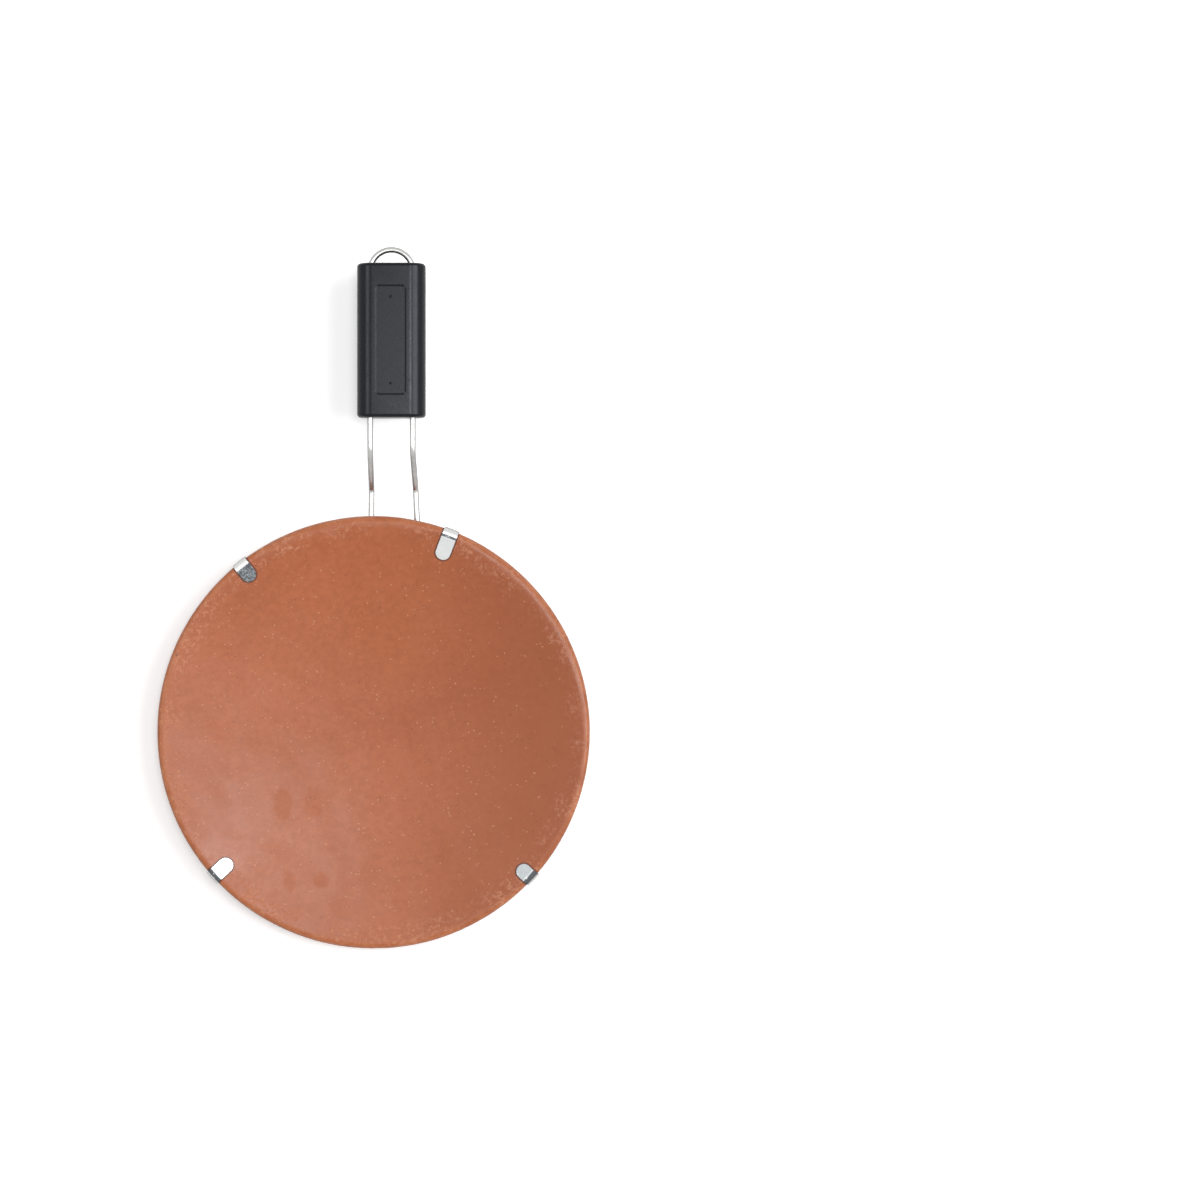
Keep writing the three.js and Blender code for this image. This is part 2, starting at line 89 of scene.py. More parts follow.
# Clips: node, angle in degrees, tongue from the rim, whether the strip passes under the wire
CLIPS = (
    ("clip_near_handle_right", 68.8, 0.0179, True),
    ("clip_near_handle_left", 128.3, 0.013, True),
    ("clip_far_left", 222.0, 0.0145, True),
    ("clip_far_right", 317.3, 0.011, False),
)

# Where the curl round the wire ends, for a strip that passes under it and for one that doesn't
WRAP_END_UNDER = math.radians(-200)
WRAP_END_BETWEEN = math.radians(300)

# Half of one petal of the underside's dotted ornament: angle in degrees, distance from its middle
PETAL_SIDE = ((4.5, 0.055), (11, 0.0543), (17, 0.0581), (18.3, 0.065), (16.5, 0.0719),
              (12.5, 0.0765), (8.7, 0.0802), (4.5, 0.0837))

# Dots on a petal's middle line, the number of petals, and the angle of the first in degrees
PETAL_MIDDLE = (0.0591, 0.0863)
PETALS = 6
PETAL_TURN = 145.8

# Rows of dots between the petals: angles in degrees, nearest distance, and how fast a row bends out
DOT_ROWS = (
    ((0, 5.8, 11, 15.3), 0.0906, 4.3e-5),
    ((0, 6.7, 13, 18.2, 22.4, 26, 29), 0.0741, 2.55e-5),
)

# How much the dots differ in width, and where the noise is read for their drift and width
DOT_SPREAD = 0.15
DRIFT_STEP = 0.37
DRIFT_REACH = 91.0
DRIFT_LANE = 2.0
WIDTH_STEP = 0.61
WIDTH_LANE = 5.0

# The rim's rolled lip: where it starts, is full, stays full and ends, in degrees
LIP_SPAN = (-15.0, 35.0, 105.0, 138.0)

# Degrees from a clip's middle at which the lip starts and is full again
LIP_CLEAR = (2.5, 9.0)

# Hand-made clay: width of the worn rim, depth of the underside's skin, height of its lower edge
RIM_WEAR = 0.006
UNDER_SKIN = 0.003
LOWER_EDGE = 0.004

# Waves in the clay's faces: share of the unevenness, length
FACE_WAVES = ((0.8, 0.045), (0.35, 0.013))

# Nicks in the rim: share, length, and the height of the waves that stay whole
RIM_NICKS = ((1.0, 0.0042, 0.3), (0.5, 0.011, 0.2))

# Wear of the rim in shares of the unevenness: even, in waves, and inwards, down and up in a nick
RIM_EVEN = 0.4
RIM_WAVE = 0.5
RIM_WAVE_LENGTH = 0.03
NICK_IN = 1.5
NICK_DOWN = 1.2
NICK_UP = 0.48

# Fineness of the meshes
PLATE_STEPS = 360
FINE_RING = 0.001
COARSE_RING = 0.0016
RIM_STEPS = 10
BEVEL_RINGS = (0.4, 0.7)
WALL_RINGS = (0.0, 0.5)
WIRE_STEP = 0.001
WIRE_ROUNDNESS = 6
BEND_STEP = math.radians(6)
TONGUE_STEPS = 6
WRAP_STEPS = 18
CLIP_SLICES = (-1, -0.97, -0.9, -0.75, -0.5, -0.2, 0.2, 0.5, 0.75, 0.9, 0.97, 1)
SHOULDER_SEGMENTS = 14
END_SEGMENTS = 5
PANEL_SEGMENTS = 8
SOFT_SEGMENTS = 2
SOFT_ANGLE = math.radians(25)
CROWN_STEPS = 4
ROUND_SIDES = 48
TINY = 1e-6


# Properties

def length(name, description, default):
    """A length in metres that a user may change"""
    return bpy.props.FloatProperty(name=name, description=description, default=default,
                                   unit="LENGTH", precision=5)


def colour(name, description, default):
    """A colour that a user may change, in linear light"""
    return bpy.props.FloatVectorProperty(name=name, description=description, default=default,
                                         subtype="COLOR", size=3, min=0.0, max=1.0)


class TawaPlateSizes(bpy.types.PropertyGroup):
    """Sizes of the clay plate"""
    diameter: length("Diameter", "Across the rim", plate_high.x - plate_low.x)
    top: length("Rim level", "Height of the rim's crest", plate_high.z)
    flat_level: length("Flat level", "Height of the underside's flat", plate_low.z)
    dish_depth: length("Dish depth", "Hollow of the cooking face", 0.0095)
    underside_rise: length("Underside rise", "Climb of the underside to the rim", 0.0095)
    rim_round: length("Rim round", "Radius of the rim's upper edge", 0.003)
    rim_bevel: length("Rim bevel", "Width of the rim's lower bevel", 0.0035)
    rim_bevel_rise: length("Rim bevel rise", "Height of the rim's lower bevel", 0.003)
    sunk_diameter: length("Sunk round", "Diameter of the round in the underside", 0.096)
    sunk_x: length("Sunk round X", "Place of the round across the plate", -0.0039)
    sunk_y: length("Sunk round Y", "Place of the round along the plate", -0.0093)
    sunk_land: length("Sunk round land", "Flat left beside the round", 0.001)
    sunk_edge: length("Sunk round edge", "Softness of the round's step", 0.0009)
    seam_height: length("Mould seam", "Height of the seam line near the rim", 0.00022)
    unevenness: length("Unevenness", "Height of the hand-made waves in the clay", 0.00016)
    lip_width: length("Lip width", "Width of the rim's rolled lip", 0.0075)
    lip_drop: length("Lip drop", "Fall of the rim's rolled lip", 0.0011)
    dot_width: length("Dot width", "Diameter of a raised dot", 0.0023)
    dot_height: length("Dot height", "Height of a raised dot", 0.00055)
    dots_x: length("Dots X", "Middle of the dots across the plate", -0.0025)
    dots_y: length("Dots Y", "Middle of the dots along the plate", -0.0044)


class TawaWireSizes(bpy.types.PropertyGroup):
    """Sizes of the wire frame"""
    diameter: length("Wire diameter", "Thickness of the wire", 0.00325)
    ring_inset: length("Ring inset", "Ring's distance in from the rim", 0.0181)
    ring_x: length("Ring X", "Middle of the ring across the plate", -0.0014)
    ring_y: length("Ring Y", "Middle of the ring along the plate", -0.0049)
    rim_bend: length("Rim bend", "Bend radius under the rim", 0.006)
    valley_bend: length("Valley bend", "Bend radius at the foot of the slope", 0.005)
    crest_bend: length("Crest bend", "Bend radius at the top of the slope", 0.012)
    valley_reach: length("Valley reach", "Foot of the slope beyond the rim", 0.015)
    crest_reach: length("Crest reach", "Top of the slope beyond the rim", 0.0365)
    leg_spacing: length("Leg spacing", "Distance of the legs in the handle", 0.0245)
    end_gap: length("End gap", "Gap between the wire's ends in the handle", 0.002)
    foot_flat: length("Foot flat", "Depth of the worn flat under a foot", 0.0002)
    fit: length("Fit", "Clearance between pieces that touch", 0.0003)


class TawaClipSizes(bpy.types.PropertyGroup):
    """Sizes of the rim clips"""
    sheet: length("Sheet", "Thickness of the clips' sheet", 0.0006)
    width: length("Width", "Width of a clip", 0.0087)
    run_to_wire: length("Run to wire", "Where the strip leaves the clay", 0.006)
    edge: length("Edge", "Rounding of the sheared edges", 0.00012)


class TawaHandleSizes(bpy.types.PropertyGroup):
    """Sizes of the handle and its screws"""
    shoulder: length("Shoulder", "Radius of the long edges", 0.009)
    end_round: length("End round", "Radius of the edges at the ends", 0.002)
    edge: length("Edge", "Rounding of the small edges", 0.0002)
    panel_width: length("Panel width", "Width of the sunk panel", 0.0182)
    panel_length: length("Panel length", "Length of the sunk panel", 0.0633)
    panel_corner: length("Panel corner", "Corner radius of the panel", 0.0025)
    panel_depth: length("Panel depth", "Depth of the panel", 0.0006)
    panel_slope: length("Panel slope", "Width of the panel's sloped wall", 0.001)
    pip_width: length("Pip width", "Diameter of the pips over the screws", 0.0016)
    pip_height: length("Pip height", "Height of the pips over the screws", 0.00055)
    counterbore: length("Counterbore", "Diameter of the screw recesses", 0.0084)
    counterbore_depth: length("Counterbore depth", "Depth of the screw recesses", 0.0042)
    screw_shank: length("Screw shank", "Diameter of the screws' shanks", 0.0035)
    screw_head: length("Screw head", "Height of a screw head", 0.0024)
    screw_crown: length("Screw crown", "Rounding of a screw head", 0.0009)
    screw_swell: length("Screw swell", "Swell of a screw head's face", 0.00005)
    screw_tip: length("Screw tip", "Length of a screw's point", 0.0015)
    cross_length: length("Cross length", "Length of the cross recess", 0.0034)
    cross_width: length("Cross width", "Width of the cross recess", 0.0009)
    cross_depth: length("Cross depth", "Depth of the cross recess", 0.0012)
    cross_taper: bpy.props.FloatProperty(name="Cross taper", subtype="FACTOR", default=0.75,
                                         description="Size of the cross recess at its bottom")


class TawaColours(bpy.types.PropertyGroup):
    """Colours of the finishes, in linear light"""
    clay_deep: colour("Deep clay", "Darker tone of the fired clay", (0.356, 0.092, 0.0295))
    clay_pale: colour("Pale clay", "Lighter tone of the fired clay", (0.432, 0.12, 0.0425))
    # Painted shade: this colour darkens the plate towards its right side
    clay_painted_shade: colour("Brown clay", "Harder fired side of the plate", (0.284, 0.0735, 0.025))
    # Clay edge is worn clay and also painted light that lifts the shade on the rim's outer round
    clay_edge_wear_and_light: colour("Clay edge", "Worn clay on the rim's edge", (0.53, 0.19, 0.085))
    clay_dust: colour("Clay dust", "Rubbed clay near the rim", (0.68, 0.33, 0.2))
    clay_grain: colour("Clay grain", "Sand grains in the clay", (0.7, 0.38, 0.24))
    # Clay pit colours the real pits and also the painted shade line beside the clips
    clay_pit_and_shade: colour("Clay pit", "Dark pits in the clay", (0.15, 0.042, 0.022))
    wire: colour("Wire", "Bright drawn wire", (0.52, 0.52, 0.51))
    wire_dull: colour("Dull wire", "Dulled patches of the wire", (0.36, 0.36, 0.35))
    zinc: colour("Zinc", "Bright plated sheet", (0.7, 0.7, 0.695))
    zinc_grey: colour("Grey zinc", "Grey crystals of the sheet", (0.335, 0.358, 0.366))
    # Dark zinc colours the dark crystals of the swirled clips and also the painted dark reflection along
    # the bright clips' folds
    zinc_dark_and_reflection: colour("Dark zinc", "Dark crystals of the sheet", (0.078, 0.086, 0.095))
    metal_edge: colour("Metal edge", "Tint of metal seen edge on", (0.3, 0.3, 0.3))
    black: colour("Black", "Moulding of the handle", (0.0036, 0.004, 0.006))
    black_rubbed: colour("Rubbed black", "Rubbed moulding", (0.0075, 0.0079, 0.0102))
    black_gloss: colour("Black gloss", "Tint of the moulding's gloss", (0.87, 0.92, 1.0))
    scuff: colour("Scuff", "Scuffed moulding", (0.1, 0.1, 0.1))
    floor: colour("Floor", "Pale floor", (0.93, 0.93, 0.93))


def plate_sizes():
    """Sizes of the plate as set in the scene"""
    return bpy.context.scene.tawa_plate


def wire_sizes():
    """Sizes of the wire as set in the scene"""
    return bpy.context.scene.tawa_wire


def clip_sizes():
    """Sizes of the clips as set in the scene"""
    return bpy.context.scene.tawa_clip


def handle_sizes():
    """Sizes of the handle as set in the scene"""
    return bpy.context.scene.tawa_handle


def colours():
    """Colours as set in the scene"""
    return bpy.context.scene.tawa_colours


# Places and levels that the pieces share

def polar(degrees, radius):
    """A point of the plan from its angle and distance"""
    turn = math.radians(degrees)
    return Vector((radius * math.cos(turn), radius * math.sin(turn), 0.0))


def smooth_share(value, low, high):
    """0 below low, 1 above high, and a smooth climb between"""
    share = min(1.0, max(0.0, (value - low) / (high - low)))
    return share * share * (3 - 2 * share)


def rim_radius():
    """Radius of the plate"""
    return plate_sizes().diameter / 2


def flat_radius():
    """Radius of the underside's flat"""
    s = plate_sizes()
    return s.sunk_diameter / 2 + math.hypot(s.sunk_x, s.sunk_y) + s.sunk_land


def top_level(radius):
    """Height of the cooking face at a distance from the axis"""
    s = plate_sizes()
    crest = rim_radius() - s.rim_round
    return s.top - s.dish_depth + s.dish_depth * (radius / crest) ** 2


def under_level(radius):
    """Height of the underside at a distance from the axis"""
    s = plate_sizes()
    flat = flat_radius()
    out = max(0.0, radius - flat) / (rim_radius() - s.rim_bevel - flat)
    return s.flat_level + s.underside_rise * out ** 2


def wire_level(radius):
    """Height of the wire's middle under the plate"""
    s = wire_sizes()
    return under_level(radius) - clip_sizes().sheet - 2 * s.fit - s.diameter / 2


def rim_outline(steps):
    """Rim from its crest over the outer face to the underside, as distance out and height"""
    s = plate_sizes()
    radius = rim_radius()
    points = []
    for i in range(steps + 1):
        turn = math.pi / 2 * (1 - i / steps)
        out = radius - s.rim_round + s.rim_round * math.cos(turn)
        points.append(Vector((out, s.top - s.rim_round + s.rim_round * math.sin(turn))))
    low = s.flat_level + s.underside_rise
    points.append(Vector((radius, low + s.rim_bevel_rise)))
    points.append(Vector((radius - s.rim_bevel, low)))
    return points


def even_steps(start, end, step):
    """Values from start to end, both included, about a step apart"""
    count = max(1, math.ceil(abs(end - start) / step))
    return [start + (end - start) * i / count for i in range(count + 1)]


# Making and finishing pieces

def holder_of(data, name):
    """A linked object that holds a mesh or a curve"""
    holder = bpy.data.objects.new(name, data)
    bpy.context.scene.collection.objects.link(holder)
    return holder


def placed(bm, name):
    """A linked object made from a bmesh, which is then freed"""
    mesh = bpy.data.meshes.new(name)
    put_back(bm, mesh)
    return holder_of(mesh, name)


def taken_up(mesh):
    """A bmesh of a mesh, to work on"""
    bm = bmesh.new()
    bm.from_mesh(mesh)
    return bm


def put_back(bm, mesh):
    """Write a bmesh to a mesh and free it"""
    bm.to_mesh(mesh)
    bm.free()


def as_shown(holder):
    """A new mesh of an object as its modifiers or its bevel make it"""
    bpy.context.view_layer.update()
    return bpy.data.meshes.new_from_object(holder.evaluated_get(bpy.context.evaluated_depsgraph_get()))


def settle(holder):
    """Turn an object's modifiers into its mesh"""
    mesh = as_shown(holder)
    old = holder.data
    holder.modifiers.clear()
    holder.data = mesh
    bpy.data.meshes.remove(old)
    mesh.name = holder.name


def close_up(bm):
    """Merge doubles and turn the faces outwards"""
    bmesh.ops.remove_doubles(bm, verts=bm.verts, dist=TINY)
    bmesh.ops.recalc_face_normals(bm, faces=bm.faces)


def cut_away(holder, cutter):
    """Cut one object out of another, and remove the cutter"""
    cut = holder.modifiers.new("cut", "BOOLEAN")
    cut.operation = "DIFFERENCE"
    cut.solver = "EXACT"
    cut.object = cutter
    settle(holder)
    mesh = cutter.data
    bpy.data.objects.remove(cutter)
    bpy.data.meshes.remove(mesh)


def soften(holder, width):
    """Round the sharp edges of an object a little"""
    bevel = holder.modifiers.new("soft edges", "BEVEL")
    bevel.width = width
    bevel.segments = SOFT_SEGMENTS
    bevel.limit_method = "ANGLE"
    bevel.angle_limit = SOFT_ANGLE
    settle(holder)


def round_edges(bm, edges, radius, segments):
    """Round some edges of a bmesh"""
    bmesh.ops.bevel(bm, geom=edges, offset=radius, offset_type="OFFSET", segments=segments,
                    profile=0.5, affect="EDGES", material=-1, clamp_overlap=True)


def shade_smooth(mesh):
    """Smooth shading on every face"""
    mesh.polygons.foreach_set("use_smooth", [True] * len(mesh.polygons))


def shade_by_angle(mesh, crisp):
    """Smooth shading, with edges sharper than an angle in degrees left crisp"""
    shade_smooth(mesh)
    mesh.set_sharp_from_angle(angle=math.radians(crisp))


def shade_by_area(holder):
    """Smooth shading that leaves large flat faces flat beside their rounded edges"""
    shade_smooth(holder.data)
    weights = holder.modifiers.new("flat faces", "WEIGHTED_NORMAL")
    weights.keep_sharp = False
    settle(holder)


def carry(holder, finish, slot, *nodes):
    """Give a piece its finish and its body, and hide the imported nodes that it stands for; the slot is
    not used
    """
    if not holder.data.polygons:
        raise RuntimeError(holder.name + " came out empty")
    holder.data.materials.clear()
    holder.data.materials.append(finish)
    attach(holder, BODY)
    if nodes:
        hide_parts(*nodes)


def block(low, high):
    """A box between two corners"""
    bm = bmesh.new()
    bmesh.ops.create_cube(bm, size=1.0)
    bmesh.ops.scale(bm, vec=high - low, verts=bm.verts)
    bmesh.ops.translate(bm, vec=(low + high) / 2, verts=bm.verts)
    return bm


def dome(bm, place, width, height, around, rings):
    """Add a low dome to a bmesh, as an oval ball that is sunk to its middle"""
    shape = Matrix.Diagonal((width, width, 2 * height, 1.0))
    bmesh.ops.create_uvsphere(bm, u_segments=around, v_segments=rings, radius=0.5,
                              matrix=Matrix.Translation(place) @ shape)


def turned(profile, steps):
    """A closed shape turned about the Z axis from a half section"""
    bm = bmesh.new()
    line = [bm.verts.new((p.x, 0.0, p.y)) for p in profile]
    edges = [bm.edges.new(pair) for pair in zip(line, line[1:])]
    bmesh.ops.spin(bm, geom=line + edges, cent=(0, 0, 0), axis=(0, 0, 1), dvec=(0, 0, 0),
                   angle=2 * math.pi, steps=steps, use_merge=True)
    close_up(bm)
    return bm


def post(name, diameter, y, bottom, top):
    """A round post along Z on the handle's middle line"""
    bm = bmesh.new()
    bmesh.ops.create_cone(bm, cap_ends=True, segments=ROUND_SIDES, radius1=diameter / 2,
                          radius2=diameter / 2, depth=top - bottom)
    bmesh.ops.translate(bm, vec=(handle_x, y, (bottom + top) / 2), verts=bm.verts)
    return placed(bm, name)


def tube(name, points, radius):
    """A round tube along points, as a mesh object"""
    curve = bpy.data.curves.new(name, "CURVE")
    curve.dimensions = "3D"
    curve.bevel_depth = radius
    curve.bevel_resolution = WIRE_ROUNDNESS
    curve.use_fill_caps = True
    spline = curve.splines.new("POLY")
    spline.points.add(len(points) - 1)
    for knot, at in zip(spline.points, points):
        knot.co = (at.x, at.y, at.z, 1.0)
    bent = holder_of(curve, name + "_line")
    mesh = as_shown(bent)
    mesh.name = name
    bpy.data.objects.remove(bent)
    bpy.data.curves.remove(curve)
    bm = taken_up(mesh)
    close_up(bm)
    put_back(bm, mesh)
    return holder_of(mesh, name)


# Clay plate

def plate_profile():
    """Half section of the plate, from the middle of its underside to the middle of its top"""
    s = plate_sizes()
    flat = flat_radius()
    bevel = rim_radius() - s.rim_bevel
    rings = even_steps(0.0, flat, FINE_RING) + even_steps(flat, bevel, COARSE_RING)[1:-1]
    profile = [Vector((out, under_level(out))) for out in rings]
    rim = rim_outline(RIM_STEPS)[::-1]
    seam = rim[0]
    profile.append(seam + Vector((-s.seam_height, 0.0)))
    profile.append(seam + Vector((s.seam_height, -s.seam_height)))
    profile.append(seam + Vector((3 * s.seam_height, s.seam_height)))
    profile += [rim[0].lerp(rim[1], share) for share in BEVEL_RINGS]
    profile += [rim[1].lerp(rim[2], share) for share in WALL_RINGS]
    profile += rim[2:-1]
    crest = rim_radius() - s.rim_round
    profile += [Vector((out, top_level(out))) for out in even_steps(crest, 0.0, COARSE_RING)]
    return profile


def wave(at, scale):
    """Soft noise between about -1 and 1 for a place, with waves of a given length"""
    return noise.noise(at / scale)


def lip_share(degrees):
    """How far the lip is rolled at an angle: not at all under a clip"""
    start, full, last, end = LIP_SPAN
    share = smooth_share(degrees, start, full) * (1 - smooth_share(degrees, last, end))
    for _, clip, _, _ in CLIPS:
        share *= smooth_share(abs(degrees - clip), *LIP_CLEAR)
    return share


def worn_point(at):
    """Where a point of the even plate lies on the hand-made one"""
    s = plate_sizes()
    radius = math.hypot(at.x, at.y)
    underside = under_level(radius)
    wall = s.flat_level + s.underside_rise + s.rim_bevel_rise
    over = max(0.0, (radius - rim_radius() + s.lip_width) / s.lip_width)
    roll = over ** 2 * smooth_share(at.z, wall, s.top - s.rim_round)
    rim = smooth_share(radius, rim_radius() - RIM_WEAR, rim_radius())
    under = 1 - smooth_share(at.z, underside, underside + UNDER_SKIN)
    from_middle = math.hypot(at.x - s.sunk_x, at.y - s.sunk_y)
    sunk = 1 - smooth_share(from_middle, s.sunk_diameter / 2 - s.sunk_edge, s.sunk_diameter / 2)
    moved = at.copy()
    moved.z -= s.flat_level * sunk * under
    if roll > 0:
        moved.z -= s.lip_drop * roll * lip_share(math.degrees(math.atan2(at.y, at.x)))
    waves = sum(share * wave(at, size) for share, size in FACE_WAVES)
    moved.z += s.unevenness * waves * (1 - rim)
    nick = sum(share * max(0.0, wave(at, size) - whole) for share, size, whole in RIM_NICKS)
    worn = rim * s.unevenness
    inwards = worn * (RIM_EVEN + RIM_WAVE * wave(at, RIM_WAVE_LENGTH) + NICK_IN * nick)
    shrink = 1 - inwards / max(radius, TINY)
    moved.x *= shrink
    moved.y *= shrink
    moved.z += worn * nick * (-NICK_DOWN if at.z > underside + LOWER_EDGE else NICK_UP)
    return moved


def ornament():
    """Places of the raised dots, as angle in degrees and distance from the ornament's middle"""
    places = []
    for petal in range(PETALS):
        middle = PETAL_TURN + petal * 360 / PETALS
        between = middle + 180 / PETALS
        places += [(middle, out) for out in PETAL_MIDDLE]
        for turn, out in PETAL_SIDE:
            places += [(middle - turn, out), (middle + turn, out)]
        for row, nearest, bend in DOT_ROWS:
            for turn in row:
                out = nearest + bend * turn ** 2
                places.append((between + turn, out))
                if turn:
                    places.append((between - turn, out))
    return places


class TAWA_OT_clay_plate(bpy.types.Operator):
    """Turn the dished clay plate and set the raised dots on its underside"""
    bl_idname = "tawa.clay_plate"
    bl_label = "Clay plate"

    def execute(self, context):
        bm = turned(plate_profile(), PLATE_STEPS)
        for vert in bm.verts:
            vert.co = worn_point(vert.co)
        plate = placed(bm, "clay_plate_fired")
        shade_by_angle(plate.data, crisp=50)
        finish = clay_finish()
        carry(plate, finish, "clay", "clay_plate")
        carry(self.dots(), finish, "clay")
        return {"FINISHED"}

    def dots(self):
        """All raised dots as one piece of low domes"""
        s = plate_sizes()
        bm = bmesh.new()
        for index, (degrees, out) in enumerate(ornament()):
            spot = Vector((index * DRIFT_STEP, out * DRIFT_REACH, DRIFT_LANE))
            drift = noise.noise_vector(spot) * s.dot_height
            at = polar(degrees, out)
            x = s.dots_x + at.x + drift.x
            y = s.dots_y + at.y + drift.y
            spread = DOT_SPREAD * noise.noise(Vector((index * WIDTH_STEP, 0.0, WIDTH_LANE)))
            place = (x, y, under_level(math.hypot(x, y)))
            dome(bm, place, s.dot_width * (1 + spread), s.dot_height, around=8, rings=5)
        dots = placed(bm, "underside_dots")
        shade_smooth(dots.data)
        return dots


# Wire frame

def smooth_curve(knots, step):
    """Points along a smooth curve through knots, about a step apart"""
    chain = [2 * knots[0] - knots[1], *knots, 2 * knots[-1] - knots[-2]]
    points = []
    for before, start, end, after in zip(chain, chain[1:], chain[2:], chain[3:]):
        pace = [math.sqrt((b - a).length) for a, b in ((before, start), (start, end), (end, after))]
        span = (end - start) / pace[1]
        leave = (start - before) / pace[0] - (end - before) / (pace[0] + pace[1]) + span
        arrive = span - (after - start) / (pace[1] + pace[2]) + (after - end) / pace[2]
        reach = pace[1] / 3
        count = max(2, math.ceil((end - start).length / step) + 1)
        points += interpolate_bezier(start, start + leave * reach, end - arrive * reach, end, count)[:-1]
    points.append(knots[-1])
    return points


def ring_plan():
    """Plan of the wire under the plate, from the right arm round the ring to the left arm"""
    s = wire_sizes()
    rim = rim_radius()
    knots = [polar(degrees, rim - inset) for degrees, inset in RIGHT_ARM]
    shift = Vector((s.ring_x, s.ring_y, 0.0))
    degrees = RIGHT_ARM[-1][0] - RING_STEP
    while degrees > LEFT_ARM[0][0] - 360:
        knots.append(polar(degrees, rim - s.ring_inset) + shift)
        degrees -= RING_STEP
    knots += [polar(degrees, rim - inset) for degrees, inset in LEFT_ARM]
    return smooth_curve(knots, WIRE_STEP)


def ring_points():
    """The ring in space, with its feet bent down"""
    s = wire_sizes()
    foot_level = wire_low.z - s.foot_flat + s.diameter / 2
    points = []
    for flat in ring_plan():
        radius = flat.length
        point = Vector((flat.x, flat.y, wire_level(radius)))
        for angle, half_flat, slope, splay in FEET:
            away = math.atan2(flat.y, flat.x) - math.radians(angle)
            along = abs(math.atan2(math.sin(away), math.cos(away))) * radius
            share = 1 - smooth_share(along, half_flat, half_flat + slope)
            point.x *= 1 + splay * share / radius
            point.y *= 1 + splay * share / radius
            point.z += (foot_level - point.z) * share
        points.append(point)
    return points


def bent_run(corners):
    """Points along straight runs whose corners, each a place and a radius, are bent round"""
    points = [corners[0][0]]
    for (before, _), (at, bend), (after, _) in zip(corners, corners[1:], corners[2:]):
        back = (before - at).normalized()
        ahead = (after - at).normalized()
        turn = math.pi - back.angle(ahead)
        centre = at + (back + ahead).normalized() * bend / math.cos(turn / 2)
        start = at + back * bend * math.tan(turn / 2) - centre
        axis = start.cross(ahead).normalized()
        steps = max(2, math.ceil(turn / BEND_STEP))
        points += [Matrix.Rotation(turn * k / steps, 3, axis) @ start + centre for k in range(steps + 1)]
    points.append(corners[-1][0])
    return points


def leg_plan():
    """X of the two legs in the handle and the wire's height there"""
    half = wire_sizes().leg_spacing / 2
    return handle_x - half, handle_x + half, (lower_low.z + upper_high.z) / 2


def leg_corners(rim_bend, leg_x):
    """The bends of one leg, from the rim up to the handle"""
    s = wire_sizes()
    rim = rim_radius()
    x, inset = rim_bend
    rim_y = rim - inset
    level = wire_level(min(rim - plate_sizes().rim_bevel, math.hypot(x, rim_y)))
    straighten = (rim + s.valley_reach - rim_y) / (rim + s.crest_reach - rim_y)
    valley_x = x + (leg_x - x) * straighten
    return [
        (Vector((x, rim_y, level)), s.rim_bend),
        (Vector((valley_x, rim + s.valley_reach, level)), s.valley_bend),
        (Vector((leg_x, rim + s.crest_reach, leg_plan()[2])), s.crest_bend),
    ]


def loop_points():
    """The hanging loop, from the left leg over to the right one"""
    left, right, level = leg_plan()
    half = (right - left) / 2
    middle_y = wire_high.y - wire_sizes().diameter / 2 - half
    points = []
    for turn in even_steps(math.pi, 0.0, BEND_STEP):
        points.append(Vector((handle_x + half * math.cos(turn), middle_y + half * math.sin(turn), level)))
    return points


def wire_points():
    """The whole wire, from its first end in the handle to its second"""
    left, right, level = leg_plan()
    gap = wire_sizes().end_gap / 2
    ring = ring_points()
    loop = loop_points()
    down = leg_corners(RIGHT_RIM_BEND, right)[::-1]
    up = leg_corners(LEFT_RIM_BEND, left)
    points = bent_run([(Vector((right, handle_y - gap, level)), 0.0), *down, (ring[0], 0.0)])
    points += ring[1:-1]
    points += bent_run([(ring[-1], 0.0), *up, (loop[0], 0.0)])
    points += loop[1:]
    points.append(Vector((right, handle_y + gap, level)))
    return points


class TAWA_OT_wire_frame(bpy.types.Operator):
    """Bend the wire: legs, arms, ring with three feet, and hanging loop"""
    bl_idname = "tawa.wire_frame"
    bl_label = "Wire frame"

    def execute(self, context):
        wire = tube("wire_frame_bent", wire_points(), wire_sizes().diameter / 2)
        bm = taken_up(wire.data)
        everything = bm.verts[:] + bm.edges[:] + bm.faces[:]
        bmesh.ops.bisect_plane(bm, geom=everything, dist=TINY, plane_co=(0, 0, wire_low.z),
                               plane_no=(0, 0, 1), clear_inner=True)
        open_edges = [edge for edge in bm.edges if edge.is_boundary]
        bmesh.ops.holes_fill(bm, edges=open_edges, sides=0)
        bmesh.ops.recalc_face_normals(bm, faces=bm.faces)
        put_back(bm, wire.data)
        shade_by_angle(wire.data, crisp=50)
        carry(wire, wire_finish(), "wire", "wire_frame")
        return {"FINISHED"}


# Rim clips

def beside_line(points, distance):
    """A flat line of points moved to the left of its direction"""
    moved = []
    for i, point in enumerate(points):
        before = points[max(0, i - 1)]
        after = points[min(len(points) - 1, i + 1)]
        into = ((after if i == 0 else point) - before).normalized()
        out = (after - (before if i == len(points) - 1 else point)).normalized()
        middle = (into + out).normalized()
        moved.append(point + Vector((-middle.y, middle.x)) * distance / middle.dot(into))
    return moved


def wire_crossing(degrees):
    """Where the wire crosses a clip's middle line: distance out, and its slope beside the line"""
    turn = Matrix.Rotation(-math.radians(degrees), 3, "Z")
    local = [turn @ point for point in ring_plan()]
    for a, b in zip(local, local[1:]):
        if a.x > 0 and a.y >= 0 > b.y:
            share = a.y / (a.y - b.y)
            return a.x + (b.x - a.x) * share, (b.x - a.x) / (b.y - a.y)
    raise RuntimeError("no wire under a clip")


